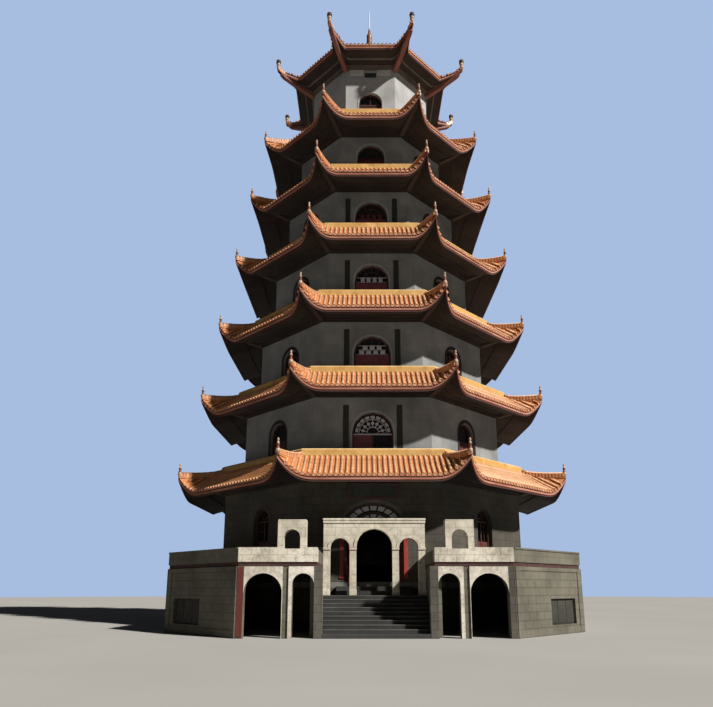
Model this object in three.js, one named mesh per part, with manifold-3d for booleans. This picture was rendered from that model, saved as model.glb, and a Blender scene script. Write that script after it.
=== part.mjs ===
// Seven-storey octagonal pagoda on an arcaded stone podium, in millimetres, +Z up.
// The front faces -Y. The origin is on the ground at the tower's axis.
import * as THREE from 'three';
import { mergeVertices } from 'three/addons/utils/BufferGeometryUtils.js';
import Module from 'manifold-3d';

const wasm = await Module();
wasm.setup();

// Driving dimensions
const SIDES = 8;
const HALF_TURN = Math.PI / SIDES;              // from a face's middle to its corner
const TAN = Math.tan(HALF_TURN);
const GAP = 0.3;                                // between solids that rest on or in each other
const PAST = 50;                                // how far a cutting solid runs past a face
const FAR = 12000;                              // past everything on one side of the axis

// Tower storeys, from the ground up: apothem of the wall's outer face
const WALL_APOTHEM = [6950, 6150, 5550, 4970, 4400, 3820, 3250];
const WALL_THICK = [500, 300, 300, 300, 300, 300, 300];
// Eaves, from the ground up: underside of the fascia, apothem of the tile edge, top of the ridge band
const EAVE_Z = [5600, 9500, 13310, 17130, 20870, 24540, 29940];
const EAVE_APOTHEM = [8800, 7930, 7310, 6700, 6100, 5500, 4300];
const RIDGE_TOP_Z = [7270, 11110, 15050, 18800, 22490, 26700];
const RIDGE_APOTHEM = [7200, 6600, 5980, 5500, 4900, 3780];   // outer face of the ridge band
const CORNER_FLARE = [220, 320, 330, 330, 330, 350, 1020];  // extra apothem of an eave's corner
const CORNER_RISE = [820, 820, 850, 880, 900, 950, 500];    // how far an eave's corner sweeps up
const SWEEP_START = [0.6, 0.6, 0.6, 0.6, 0.6, 0.4, 0.76];    // where it starts, from the eave's middle
const SWEEP_POWER = [3, 3, 3, 3, 3, 3, 1.65];               // how late it climbs
// Front windows of storeys 2 to 7: crown height and radius of the round head
const WINDOW_CROWN_Z = [9110, 12900, 16800, 20600, 24360, 28080];
const WINDOW_RADIUS = [890, 845, 815, 800, 710, 630];
const SIDE_WINDOW_RATIO = 0.64;                 // width of a window on a slanting face
const SIDE_WINDOW_DROP = 60;
const WINDOW_SILL_ABOVE_RIDGE = 40;
const GROUND_WINDOW = { half: 550, sill: 3100, spring: 4470, crown: 5020 };
// Upright recesses beside the windows of storeys 2 to 5: low over the ridge, drop under the soffit
const SLOT = { x: 1170, half: 130, depth: 45, low: 130, drop: 500 };

// Roof build-up
const SOFFIT_RISE = 440;                        // from the fascia's foot to the wall
const TOP_SOFFIT_DROP = 220;                    // the top roof's soffit falls to the wall
const SLAB_OVER_SOFFIT = 60;
const SLAB_THICK = 220;
const SLOPE_SAG = 90;                           // hollow of the tiles between ridge and eave
const CORNER_POWER = 1.5;                       // how early a corner's rise starts on the way to the eave
const SLOPE_BEND = 0.6;                         // the tiles' bend, part of the way from ridge to eave
const EDGE_HEIGHT = 310;                        // fascia and tile ends
const RIDGE_BAND = 300;                         // its height over the tiles
const RIDGE_THICK = 260;
const GALLERY_DEPTH = 750;                      // from the ridge's top to the walk behind it
const CORNICE_DROP = 170;
const CORNICE_OUT = 130;
const HIP_HEIGHT = 260;                         // over the tiles
const HIP_END_HEIGHT = 160;                     // at the corner's tip
const HIP_FOOT = 0.968;                         // where a hip's upright side stands
const HIP_SHOULDER = 0.974;
const NOSE_OUT = 40;                            // a hip's nose past the tile edge
const FINIAL = { inset: 110, radius: 75, tip: 15, height: 420, sunk: 60, sides: 5 };
const TOP_ROOF_APEX_Z = 33200;
// The spire's radii and heights over the collar, from its foot inside the collar
const SPIRE_PROFILE = [[0, -480], [240, -480], [240, GAP], [330, GAP], [330, 180], [170, 320], [280, 560],
  [280, 800], [150, 1060], [165, 2020], [100, 2080]];
const SPIRE_TIP_RADIUS = 70;
const SPIRE_TOP_Z = 35650;
const ROD_TOP_Z = 37000;
const ROD_RADIUS = 30;

// Podium: front, back and slanting faces stand at the apothem, the two sides nearer in
const PODIUM_APOTHEM = 11200;
const PODIUM_SIDE_X = 7950;
const PODIUM_WALL = 350;
const TERRACE_Z = 2470;
const TERRACE_THICK = 140;
const TERRACE_INSET = 40;                       // the slab's edge lies back between wall and parapet
const PARAPET_TOP_Z = 2900;
const PARAPET_THICK = 260;
const LANDING_Z = 1340;
const GROUND_FLOOR_Z = 1850;
const STAIR_HALF = 1790;                        // half width between the podium's cheeks
const PASSAGE_HALF = 1970;                      // half width of the passage behind the gate
const PASSAGE_WALL = 250;
const STAIR_STEPS = 10;
const STAIR_TREAD = 300;
const BIG_ARCH = { x: 3780, half: 640, crown: 2100 };
const SMALL_ARCH = { x: 2440, half: 365, crown: 2100 };
const PODIUM_GROOVE = { x: 3024, half: 95, depth: 60 };
const PODIUM_NICHE = { x: 1450, half: 900, low: 330, high: 1240, depth: 120 };
const PARAPET_ARCH = { x: 2840, half: 485, depth: 420, top: 3840, open: 280, sill: 10,
  crown: 3570 };
const GATE = { half: 1955, depth: 340, top: 4170, centre: 690, centreCrown: 3840, sideX: 1320,
  sideHalf: 375, sideCrown: 3490 };
const GATE_FRONT_Y = -8190;

// Entrance
const DOOR_STEPS = { count: 2, tread: 320, half: 1500 };
const FRAME = { back: 100, front: 220 };        // the door frame's faces, from the wall's inner face
const FANLIGHT_THICK = 60;
const DOOR_HALF = 1100;                         // half width of the clear doorway
const DOOR_HEAD_Z = 4180;                       // springing of the round head
const DOOR_CROWN_Z = 5010;
const DOOR_ARCH_HALF = 1180;
const LEAF_THICK = 60;
const LEAF_OPEN_DEG = 80;
const PIVOT_X = 1120;                           // each leaf turns on a pin at its outer edge
const PIVOT_Y = -6500;
const PIVOT_RADIUS = 18;
const LEAF_EDGE = 25;                           // from the pin to the leaf's outer edge
const LEAF_CLEAR = 10;                          // over the floor and under the frame's head
const NAME_BOARD = { half: 1030, low: 5200, high: 5800, thick: 90 };

const COLOURS = {
  tile: 0xd98f3c, wall: 0x8f8d88, block: 0x5d5a55, cream: 0xcfc2a4, red: 0x7a2a22, glass: 0x2b2f33,
  board: 0x2a2320, slab: 0x77736c, metal: 0x9a9a98,
};

const building = new THREE.Group();

function material(colour, roughness = 0.85, metalness = 0) {
  return new THREE.MeshStandardMaterial({ color: colour, roughness, metalness });
}

function addMesh(name, geometry, colour, roughness, metalness) {
  const mesh = new THREE.Mesh(geometry, material(colour, roughness, metalness));
  mesh.name = name;
  building.add(mesh);
  return mesh;
}

// Solids

function toManifold(geometry) {
  const bare = geometry.clone();
  bare.deleteAttribute('normal');
  bare.deleteAttribute('uv');
  const merged = mergeVertices(bare, 1e-3);
  return new wasm.Manifold(new wasm.Mesh({
    numProp: 3,
    vertProperties: new Float32Array(merged.attributes.position.array),
    triVerts: new Uint32Array(merged.index.array),
  }));
}

function toGeometry(solid) {
  const mesh = solid.getMesh();
  const geometry = new THREE.BufferGeometry();
  geometry.setAttribute('position', new THREE.BufferAttribute(Float32Array.from(mesh.vertProperties), 3));
  geometry.setIndex(new THREE.BufferAttribute(Uint32Array.from(mesh.triVerts), 1));
  return geometry;
}

function box(x0, x1, y0, y1, z0, z1) {
  const geometry = new THREE.BoxGeometry(x1 - x0, y1 - y0, z1 - z0);
  geometry.translate((x0 + x1) / 2, (y0 + y1) / 2, (z0 + z1) / 2);
  return toManifold(geometry);
}

// A face is numbered 0 to 7: 0 is the front, 1 the next one towards +X, and so on
function faceTurn(face) {
  return face * 2 * HALF_TURN;
}

function octagonPrism(apothem, z0, z1) {
  const shape = new THREE.Shape();
  const radius = apothem / Math.cos(HALF_TURN);
  for (let i = 0; i < SIDES; i += 1) {
    const angle = -Math.PI / 2 + HALF_TURN + faceTurn(i);
    const x = radius * Math.cos(angle);
    const y = radius * Math.sin(angle);
    if (i === 0) shape.moveTo(x, y);
    else shape.lineTo(x, y);
  }
  const geometry = new THREE.ExtrudeGeometry(shape, { depth: z1 - z0, bevelEnabled: false });
  geometry.translate(0, 0, z0);
  return toManifold(geometry);
}

// The podium's plan, each side moved in by an inset
function podiumPrism(inset, z0, z1) {
  const front = PODIUM_APOTHEM - inset;
  const side = PODIUM_SIDE_X - inset;
  const cornerX = front * TAN;
  const cornerY = front * Math.SQRT2 - side;
  const shape = new THREE.Shape();
  shape.moveTo(-cornerX, -front);
  shape.lineTo(cornerX, -front);
  shape.lineTo(side, -cornerY);
  shape.lineTo(side, cornerY);
  shape.lineTo(cornerX, front);
  shape.lineTo(-cornerX, front);
  shape.lineTo(-side, cornerY);
  shape.lineTo(-side, -cornerY);
  const geometry = new THREE.ExtrudeGeometry(shape, { depth: z1 - z0, bevelEnabled: false });
  geometry.translate(0, 0, z0);
  return toManifold(geometry);
}

// A doorway or window as a solid: upright sides to the springing, then a round head of any height
function archPrism(x, half, z0, spring, crown, y0, y1, steps = 6) {
  const shape = new THREE.Shape();
  shape.moveTo(x - half, z0);
  shape.lineTo(x + half, z0);
  for (let i = 0; i <= steps; i += 1) {
    const angle = Math.PI * i / steps;
    shape.lineTo(x + half * Math.cos(angle), spring + (crown - spring) * Math.sin(angle));
  }
  const geometry = new THREE.ExtrudeGeometry(shape, { depth: y1 - y0, bevelEnabled: false });
  geometry.rotateX(Math.PI / 2);
  geometry.translate(0, y1, 0);
  return toManifold(geometry);
}

function turned(solid, face) {
  return solid.rotate([0, 0, THREE.MathUtils.radToDeg(faceTurn(face))]);
}

// Half-space on the outer side of one face's two corner planes, as a wedge from the axis
function faceWedge(face, apothem, z0, z1, trim = 0) {
  const reach = apothem * 1.3;
  const shape = new THREE.Shape();
  shape.moveTo(0, -trim / Math.sin(HALF_TURN));
  shape.lineTo(-reach * TAN, -reach - trim / Math.sin(HALF_TURN));
  shape.lineTo(reach * TAN, -reach - trim / Math.sin(HALF_TURN));
  const geometry = new THREE.ExtrudeGeometry(shape, { depth: z1 - z0, bevelEnabled: false });
  geometry.translate(0, 0, z0);
  return turned(toManifold(geometry), face);
}

// Heights that follow from the eaves

const soffitZ = EAVE_Z.map((z, k) => (k < 6 ? z + SOFFIT_RISE : z - TOP_SOFFIT_DROP));
const slabZ = soffitZ.map((z) => z + SLAB_OVER_SOFFIT);  // underside of the slab over each storey
const floorZ = [GROUND_FLOOR_Z];
for (let k = 1; k < 7; k += 1) floorZ.push(slabZ[k - 1] + SLAB_THICK);

// Walls with their windows

function windowSolid(storey, face, y0, y1) {
  if (storey === 0) {
    const w = GROUND_WINDOW;
    return turned(archPrism(0, w.half, w.sill, w.spring, w.crown, y0, y1), face);
  }
  const front = face % 2 === 0;
  const half = WINDOW_RADIUS[storey - 1] * (front ? 1 : SIDE_WINDOW_RATIO);
  const crown = WINDOW_CROWN_Z[storey - 1] - (front ? 0 : SIDE_WINDOW_DROP);
  const sill = RIDGE_TOP_Z[storey - 1] + WINDOW_SILL_ABOVE_RIDGE;
  return turned(archPrism(0, half, sill, crown - half, crown, y0, y1), face);
}

function wallRing(storey) {
  const outer = WALL_APOTHEM[storey];
  const inner = outer - WALL_THICK[storey];
  const z0 = floorZ[storey] + GAP;
  const z1 = slabZ[storey] - GAP;
  let wall = octagonPrism(outer, z0, z1).subtract(octagonPrism(inner, z0 - PAST, z1 + PAST));
  for (let face = storey === 0 ? 1 : 0; face < SIDES; face += 1) {
    wall = wall.subtract(windowSolid(storey, face, -outer - PAST, -inner + PAST));
  }
  if (storey > 0 && storey < 5) {
    for (const side of [-1, 1]) {
      const x = side * SLOT.x;
      const slot = box(x - SLOT.half, x + SLOT.half, -outer - PAST, -outer + SLOT.depth,
        RIDGE_TOP_Z[storey - 1] + SLOT.low, soffitZ[storey] - SLOT.drop);
      for (let face = 0; face < SIDES; face += 2) wall = wall.subtract(turned(slot, face));
    }
  }
  return wall;
}

for (let storey = 1; storey < 7; storey += 1) {
  addMesh(`storey_${storey + 1}_wall`, toGeometry(wallRing(storey)), COLOURS.wall);
}

const groundWall = wallRing(0);
const front = faceWedge(0, WALL_APOTHEM[0], 0, FAR);
addMesh('storey_1_wall', toGeometry(groundWall.subtract(front)), COLOURS.block);
const frontWall = groundWall.intersect(faceWedge(0, WALL_APOTHEM[0], 0, FAR, GAP));
const doorway = archPrism(0, DOOR_ARCH_HALF, 0, DOOR_HEAD_Z, DOOR_CROWN_Z,
  -WALL_APOTHEM[0] - PAST, -WALL_APOTHEM[0] + WALL_THICK[0] + PAST, 12);
const frontCut = frontWall.subtract(doorway);
const overDoor = box(-FAR, FAR, -FAR, 0, DOOR_HEAD_Z, FAR);
const beside = (x0, x1) => box(x0, x1, -FAR, 0, 0, DOOR_HEAD_Z - GAP);
addMesh('front_wall_over_door', toGeometry(frontCut.intersect(overDoor)), COLOURS.block);
addMesh('front_wall_left', toGeometry(frontCut.intersect(beside(-FAR, 0))), COLOURS.block);
addMesh('front_wall_right', toGeometry(frontCut.intersect(beside(0, FAR))), COLOURS.block);

// Window sheets: one ring of glazing a storey, on the wall's inner face

const GLAZING_THICK = 40;
const GLAZING_LAP = 90;
for (let storey = 0; storey < 7; storey += 1) {
  const outer = WALL_APOTHEM[storey] - WALL_THICK[storey] - GAP;
  const sill = storey === 0 ? GROUND_WINDOW.sill : RIDGE_TOP_Z[storey - 1] + WINDOW_SILL_ABOVE_RIDGE;
  const crown = storey === 0 ? GROUND_WINDOW.crown : WINDOW_CROWN_Z[storey - 1];
  const z0 = sill - GLAZING_LAP;
  const z1 = crown + GLAZING_LAP;
  let ring = octagonPrism(outer, z0, z1);
  ring = ring.subtract(octagonPrism(outer - GLAZING_THICK, z0 - PAST, z1 + PAST));
  if (storey === 0) ring = ring.subtract(faceWedge(0, outer, z0 - PAST, z1 + PAST));
  addMesh(`storey_${storey + 1}_windows`, toGeometry(ring), COLOURS.glass, 0.2);
}

// Floors

for (let storey = 1; storey < 7; storey += 1) {
  const slab = octagonPrism(WALL_APOTHEM[storey - 1], slabZ[storey - 1], slabZ[storey - 1] + SLAB_THICK);
  addMesh(`storey_${storey + 1}_floor`, toGeometry(slab), COLOURS.slab);
}

// Roofs

// How far the sweep of a corner has gone, 0 at the eave's straight part and 1 at the corner
function sweep(k, s) {
  const u = Math.max(0, (Math.abs(s) - SWEEP_START[k]) / (1 - SWEEP_START[k]));
  return u ** SWEEP_POWER[k];
}

// Closed solid from a ring of columns, each a closed loop of the same number of points
function ringSolid(columns) {
  const positions = columns.flat(2);
  const rows = columns[0].length;
  const index = [];
  columns.forEach((column, c) => {
    const next = (c + 1) % columns.length;
    for (let r = 0; r < rows; r += 1) {
      const up = (r + 1) % rows;
      const a = c * rows + r;
      const b = next * rows + r;
      const d = c * rows + up;
      const e = next * rows + up;
      index.push(a, b, e, a, e, d);
    }
  });
  const geometry = new THREE.BufferGeometry();
  geometry.setAttribute('position', new THREE.Float32BufferAttribute(positions, 3));
  geometry.setIndex(index);
  return geometry;
}

// Point of a face at apothem d and part s of the way to its corner, turned to its place
function facePoint(face, d, s, z) {
  const turn = faceTurn(face);
  const x = s * d * TAN;
  const y = -d;
  return [x * Math.cos(turn) - y * Math.sin(turn), x * Math.sin(turn) + y * Math.cos(turn), z];
}

// One roof's cross-section at part s of a face: apothem and height of each point, from the wall
// along the soffit, up the fascia, back up the tiles and over the ridge to the walk behind it
function roofSection(k, s) {
  const lift = sweep(k, s);
  const hip = Math.abs(s) > HIP_FOOT ? 1 : 0;
  const eave = EAVE_APOTHEM[k] + CORNER_FLARE[k] * lift + NOSE_OUT * hip;
  const rise = CORNER_RISE[k] * lift;
  const wall = WALL_APOTHEM[k] + GAP;
  const top = k < 6 ? WALL_APOTHEM[k + 1] + GAP : 0;
  const foot = wall + CORNICE_OUT;
  const section = [];
  if (k < 6) section.push([top, floorZ[k + 1] + GAP], [wall, floorZ[k + 1] + GAP]);
  section.push([wall, soffitZ[k] - CORNICE_DROP], [foot, soffitZ[k] - CORNICE_DROP], [foot, soffitZ[k]]);
  section.push([eave, EAVE_Z[k] + rise]);
  section.push([eave, EAVE_Z[k] + EDGE_HEIGHT + rise + HIP_END_HEIGHT * hip]);
  const edgeZ = EAVE_Z[k] + EDGE_HEIGHT;
  if (k < 6) {
    const band = RIDGE_APOTHEM[k];
    const behind = band - RIDGE_THICK;
    const walkZ = RIDGE_TOP_Z[k] - GALLERY_DEPTH;
    const bandZ = RIDGE_TOP_Z[k] - RIDGE_BAND;
    const sag = SLOPE_SAG * (1 - lift) * Math.sin(Math.PI * SLOPE_BEND);
    const bendZ = bandZ + (edgeZ - bandZ) * SLOPE_BEND - sag + rise * SLOPE_BEND ** CORNER_POWER;
    section.push([band + (eave - band) * SLOPE_BEND, bendZ + HIP_HEIGHT * hip]);
    section.push([band, bandZ + HIP_HEIGHT * hip * 0.9]);
    section.push([band, RIDGE_TOP_Z[k]], [behind, RIDGE_TOP_Z[k]], [behind, walkZ], [top, walkZ]);
  }
  return section;
}

function roofColumns(k, sectionOf) {
  const columns = [];
  const start = SWEEP_START[k];
  const steps = [start, start + (HIP_FOOT - start) * 0.45, start + (HIP_FOOT - start) * 0.78, HIP_FOOT,
    HIP_SHOULDER, 1];
  const parts = [...steps.slice(0, -1).reverse().map((s) => -s), ...steps];
  for (let face = 0; face < SIDES; face += 1) {
    for (const s of parts) columns.push(sectionOf(k, s).map(([d, z]) => facePoint(face, d, s, z)));
  }
  return columns;
}

// A roof with a small spike on the end of each of its hips
function roofSolid(k, sectionOf) {
  const tipRadius = (EAVE_APOTHEM[k] + CORNER_FLARE[k] + NOSE_OUT) / Math.cos(HALF_TURN);
  const tipZ = EAVE_Z[k] + EDGE_HEIGHT + CORNER_RISE[k] + HIP_END_HEIGHT;
  const f = FINIAL;
  const spike = new THREE.CylinderGeometry(f.tip, f.radius, f.height + f.sunk, f.sides);
  spike.rotateX(Math.PI / 2);
  spike.translate(0, -(tipRadius - f.inset), tipZ + (f.height - f.sunk) / 2);
  const upright = toManifold(spike);
  let solid = toManifold(ringSolid(roofColumns(k, sectionOf)));
  for (let corner = 0; corner < SIDES; corner += 1) {
    solid = solid.add(upright.rotate([0, 0, THREE.MathUtils.radToDeg(faceTurn(corner) + HALF_TURN)]));
  }
  return solid;
}

for (let k = 0; k < 6; k += 1) {
  addMesh(`roof_${k + 1}`, toGeometry(roofSolid(k, roofSection)), COLOURS.tile, 0.4);
}

// Top roof: the same eave, and tiles that climb straight to a small collar under the spire
const COLLAR = 260;
const COLLAR_DEPTH = 500;
const LOFT_HEIGHT = 1100;                       // of the hollow over the top storey, at its edge
function topRoofSection(k, s) {
  const eaves = roofSection(k, s);
  const hip = Math.abs(s) > HIP_FOOT ? 1 : 0;
  const lift = sweep(k, s);
  const eave = eaves[eaves.length - 1][0];
  const edgeZ = EAVE_Z[k] + EDGE_HEIGHT;
  const slope = (t) => {
    const d = COLLAR + (eave - COLLAR) * t;
    const climb = Math.max(0, (EAVE_APOTHEM[k] - d) / (EAVE_APOTHEM[k] - COLLAR));
    const z = edgeZ + (TOP_ROOF_APEX_Z - edgeZ) * climb;
    return [d, z + CORNER_RISE[k] * lift * t ** 12 + HIP_HEIGHT * hip];
  };
  const inside = WALL_APOTHEM[k] - WALL_THICK[k];
  return [[inside, slabZ[k]], [WALL_APOTHEM[k] + GAP, slabZ[k]], ...eaves,
    slope(0.9), slope(0.8), slope(0.5), [COLLAR, TOP_ROOF_APEX_Z], [COLLAR, TOP_ROOF_APEX_Z - COLLAR_DEPTH],
    [inside * 0.7, slabZ[k] + LOFT_HEIGHT]];
}
addMesh('roof_7', toGeometry(roofSolid(6, topRoofSection)), COLOURS.tile, 0.4);

const spireProfile = [...SPIRE_PROFILE.map(([r, z]) => [r, TOP_ROOF_APEX_Z + z]),
  [SPIRE_TIP_RADIUS, SPIRE_TOP_Z], [ROD_RADIUS, SPIRE_TOP_Z + 40], [ROD_RADIUS, ROD_TOP_Z], [0, ROD_TOP_Z]];
const spire = new THREE.LatheGeometry(spireProfile.map(([r, z]) => new THREE.Vector2(r, z)), 12);
spire.rotateX(Math.PI / 2);
addMesh('roof_spire', toGeometry(toManifold(spire)), COLOURS.tile, 0.4);

// Podium

const passageBox = (y1) => box(-PASSAGE_HALF, PASSAGE_HALF, -FAR, y1, 0, FAR);
const podiumTop = TERRACE_Z - TERRACE_THICK - GAP;
const podiumRing = podiumPrism(0, 0, podiumTop).subtract(podiumPrism(PODIUM_WALL, -PAST, podiumTop + PAST));
let podiumSides = podiumRing.subtract(faceWedge(0, PODIUM_APOTHEM, -PAST, FAR));
for (const [face, side] of [[1, -1], [3, 1], [5, -1], [7, 1]]) {
  const n = PODIUM_NICHE;
  podiumSides = podiumSides.subtract(turned(box(side * n.x - n.half, side * n.x + n.half, -FAR,
    -PODIUM_APOTHEM + n.depth, n.low, n.high), face));
}
addMesh('podium_wall', toGeometry(podiumSides), COLOURS.block);
const podiumFront = podiumRing.intersect(faceWedge(0, PODIUM_APOTHEM, -PAST, FAR, GAP));
for (const [side, name] of [[-1, 'podium_front_left'], [1, 'podium_front_right']]) {
  const half = box(Math.min(side * STAIR_HALF, side * FAR), Math.max(side * STAIR_HALF, side * FAR),
    -FAR, 0, -PAST, FAR);
  const groove = box(side * PODIUM_GROOVE.x - PODIUM_GROOVE.half, side * PODIUM_GROOVE.x + PODIUM_GROOVE.half,
    -FAR, -PODIUM_APOTHEM + PODIUM_GROOVE.depth, -PAST, FAR);
  let wall = podiumFront.intersect(half).subtract(groove);
  for (const arch of [BIG_ARCH, SMALL_ARCH]) {
    wall = wall.subtract(archPrism(side * arch.x, arch.half, -PAST, arch.crown - arch.half, arch.crown,
      -FAR, 0));
  }
  addMesh(name, toGeometry(wall), COLOURS.cream);
}

// Passage walls carry the terrace beside the stairs and the gate
for (const [side, name] of [[-1, 'passage_wall_left'], [1, 'passage_wall_right']]) {
  const x0 = side * PASSAGE_HALF;
  const x1 = side * (PASSAGE_HALF + PASSAGE_WALL);
  const wall = box(Math.min(x0, x1), Math.max(x0, x1), -PODIUM_APOTHEM + PODIUM_WALL + GAP,
    -WALL_APOTHEM[0] - GAP, 0, podiumTop);
  addMesh(name, toGeometry(wall), COLOURS.block);
}

// Plinth wall under the tower, with the ground floor slab on it
const plinth = octagonPrism(WALL_APOTHEM[0], 0, GROUND_FLOOR_Z - SLAB_THICK - GAP)
  .subtract(octagonPrism(WALL_APOTHEM[0] - WALL_THICK[0], -PAST, GROUND_FLOOR_Z));
addMesh('tower_plinth', toGeometry(plinth), COLOURS.block);
const groundSlab = octagonPrism(WALL_APOTHEM[0], GROUND_FLOOR_Z - SLAB_THICK, GROUND_FLOOR_Z);
addMesh('storey_1_floor', toGeometry(groundSlab), COLOURS.slab);

const terrace = podiumPrism(TERRACE_INSET, TERRACE_Z - TERRACE_THICK, TERRACE_Z)
  .subtract(octagonPrism(WALL_APOTHEM[0] + GAP, 0, FAR))
  .subtract(passageBox(0));
addMesh('terrace_slab', toGeometry(terrace), COLOURS.slab);

const parapet = podiumPrism(0, TERRACE_Z + GAP, PARAPET_TOP_Z)
  .subtract(podiumPrism(PARAPET_THICK, 0, FAR))
  .subtract(passageBox(0));
const railAlong = (side) => {
  const x0 = side * PASSAGE_HALF;
  const x1 = side * (PASSAGE_HALF + PARAPET_THICK);
  return box(Math.min(x0, x1), Math.max(x0, x1), -PODIUM_APOTHEM + 5, -WALL_APOTHEM[0] - GAP,
    TERRACE_Z + GAP, PARAPET_TOP_Z);
};
addMesh('terrace_parapet', toGeometry(parapet.add(railAlong(-1)).add(railAlong(1))), COLOURS.block);

for (const [side, name] of [[-1, 'parapet_arch_left'], [1, 'parapet_arch_right']]) {
  const a = PARAPET_ARCH;
  const y0 = -PODIUM_APOTHEM;
  const block = box(side * a.x - a.half, side * a.x + a.half, y0, y0 + a.depth, PARAPET_TOP_Z + GAP, a.top)
    .subtract(archPrism(side * a.x, a.open, PARAPET_TOP_Z + a.sill, a.crown - a.open, a.crown, -FAR, 0));
  addMesh(name, toGeometry(block), COLOURS.cream);
}

// Stairs, landing and gate

const riser = LANDING_Z / STAIR_STEPS;
let stairs = null;
for (let i = 0; i < STAIR_STEPS; i += 1) {
  const y0 = -PODIUM_APOTHEM + i * STAIR_TREAD;
  const y1 = i === STAIR_STEPS - 1 ? -WALL_APOTHEM[0] - GAP : y0 + STAIR_TREAD + 1;
  const half = y0 < -PODIUM_APOTHEM + PODIUM_WALL ? STAIR_HALF - GAP : PASSAGE_HALF - GAP;
  const step = box(-half, half, y0, y1, 0, (i + 1) * riser);
  stairs = stairs ? stairs.add(step) : step;
}
addMesh('front_stairs', toGeometry(stairs), COLOURS.block);

const g = GATE;
let gate = box(-g.half, g.half, GATE_FRONT_Y, GATE_FRONT_Y + g.depth, LANDING_Z + GAP, g.top);
gate = gate.subtract(archPrism(0, g.centre, 0, g.centreCrown - g.centre, g.centreCrown, -FAR, 0, 10));
for (const side of [-1, 1]) {
  gate = gate.subtract(archPrism(side * g.sideX, g.sideHalf, 0, g.sideCrown - g.sideHalf, g.sideCrown,
    -FAR, 0));
}
addMesh('gate_portico', toGeometry(gate), COLOURS.cream);

let doorSteps = null;
const doorRise = (GROUND_FLOOR_Z - LANDING_Z) / (DOOR_STEPS.count + 1);
for (let i = 0; i < DOOR_STEPS.count; i += 1) {
  const y0 = -WALL_APOTHEM[0] - (DOOR_STEPS.count - i) * DOOR_STEPS.tread;
  const step = box(-DOOR_STEPS.half, DOOR_STEPS.half, y0, -WALL_APOTHEM[0] - GAP, LANDING_Z + GAP,
    LANDING_Z + (i + 1) * doorRise);
  doorSteps = doorSteps ? doorSteps.add(step) : step;
}
addMesh('door_steps', toGeometry(doorSteps), COLOURS.block);

// Entrance door

const wallBack = -WALL_APOTHEM[0] + WALL_THICK[0];
const jamb = DOOR_ARCH_HALF - DOOR_HALF;
const frame = box(-DOOR_ARCH_HALF + GAP, DOOR_ARCH_HALF - GAP, wallBack - FRAME.front, wallBack - FRAME.back,
  GROUND_FLOOR_Z + GAP, DOOR_HEAD_Z - GAP)
  .subtract(box(-DOOR_HALF, DOOR_HALF, -FAR, 0, 0, DOOR_HEAD_Z - jamb));
addMesh('door_frame', toGeometry(frame), COLOURS.red, 0.6);
const frameFront = wallBack - FRAME.front;
const fanlight = archPrism(0, DOOR_ARCH_HALF - GAP, DOOR_HEAD_Z + GAP, DOOR_HEAD_Z + GAP, DOOR_CROWN_Z - GAP,
  frameFront, frameFront + FANLIGHT_THICK, 12);
addMesh('door_fanlight', toGeometry(fanlight), COLOURS.glass, 0.3);

// A leaf stands open on its pin, whose foot turns on the floor
const leafTop = DOOR_HEAD_Z - LEAF_CLEAR;
const leafLow = GROUND_FLOOR_Z + LEAF_CLEAR;
for (const [side, name] of [[-1, 'door_leaf_left'], [1, 'door_leaf_right']]) {
  const x0 = side * LEAF_EDGE;
  const x1 = -side * (PIVOT_X - 6);
  const panel = box(Math.min(x0, x1), Math.max(x0, x1), -LEAF_THICK / 2, LEAF_THICK / 2, leafLow, leafTop);
  const pin = new THREE.CylinderGeometry(PIVOT_RADIUS, PIVOT_RADIUS, LEAF_CLEAR * 2 - GAP, 8);
  pin.rotateX(Math.PI / 2);
  pin.translate(0, 0, GROUND_FLOOR_Z + LEAF_CLEAR + GAP / 2);
  const mesh = addMesh(name, toGeometry(panel.add(toManifold(pin))), COLOURS.red, 0.6);
  mesh.position.set(side * PIVOT_X, PIVOT_Y, 0);
  mesh.rotation.z = THREE.MathUtils.degToRad(-side * LEAF_OPEN_DEG);
}

const board = box(-NAME_BOARD.half, NAME_BOARD.half, -WALL_APOTHEM[0] - NAME_BOARD.thick - GAP,
  -WALL_APOTHEM[0] - GAP, NAME_BOARD.low, NAME_BOARD.high);
addMesh('name_board', toGeometry(board), COLOURS.board, 0.5);

export default building;
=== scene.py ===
"""Seven-storey octagonal pagoda on an arcaded podium: its looks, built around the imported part.

Metres, Z up, the front faces -Y, the origin on the ground at the tower's axis. Storeys and roofs count from 0
at the ground in the code, and from 1 in the names of pieces. Faces count from 0 at the front, anticlockwise
seen from above: the even ones are the straight faces, the odd ones the slanting faces.
"""

import math

import bpy
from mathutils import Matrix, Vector


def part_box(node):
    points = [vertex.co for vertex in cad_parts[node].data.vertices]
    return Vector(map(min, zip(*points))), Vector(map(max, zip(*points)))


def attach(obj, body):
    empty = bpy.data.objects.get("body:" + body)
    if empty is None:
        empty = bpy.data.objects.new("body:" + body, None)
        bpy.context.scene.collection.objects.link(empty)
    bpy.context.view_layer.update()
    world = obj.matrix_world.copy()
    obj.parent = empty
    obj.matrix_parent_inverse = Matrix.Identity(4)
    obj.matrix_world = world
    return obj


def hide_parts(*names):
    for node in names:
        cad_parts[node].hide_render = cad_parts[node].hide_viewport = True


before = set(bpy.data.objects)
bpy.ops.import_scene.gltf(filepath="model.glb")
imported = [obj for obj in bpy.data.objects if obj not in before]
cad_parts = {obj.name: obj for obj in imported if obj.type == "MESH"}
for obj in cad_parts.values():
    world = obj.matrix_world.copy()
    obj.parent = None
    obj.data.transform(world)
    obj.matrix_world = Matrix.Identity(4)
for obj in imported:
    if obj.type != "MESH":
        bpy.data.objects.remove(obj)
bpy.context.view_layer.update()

# Dimensions of the part; a list has one value for each storey or roof, from the ground up

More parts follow.
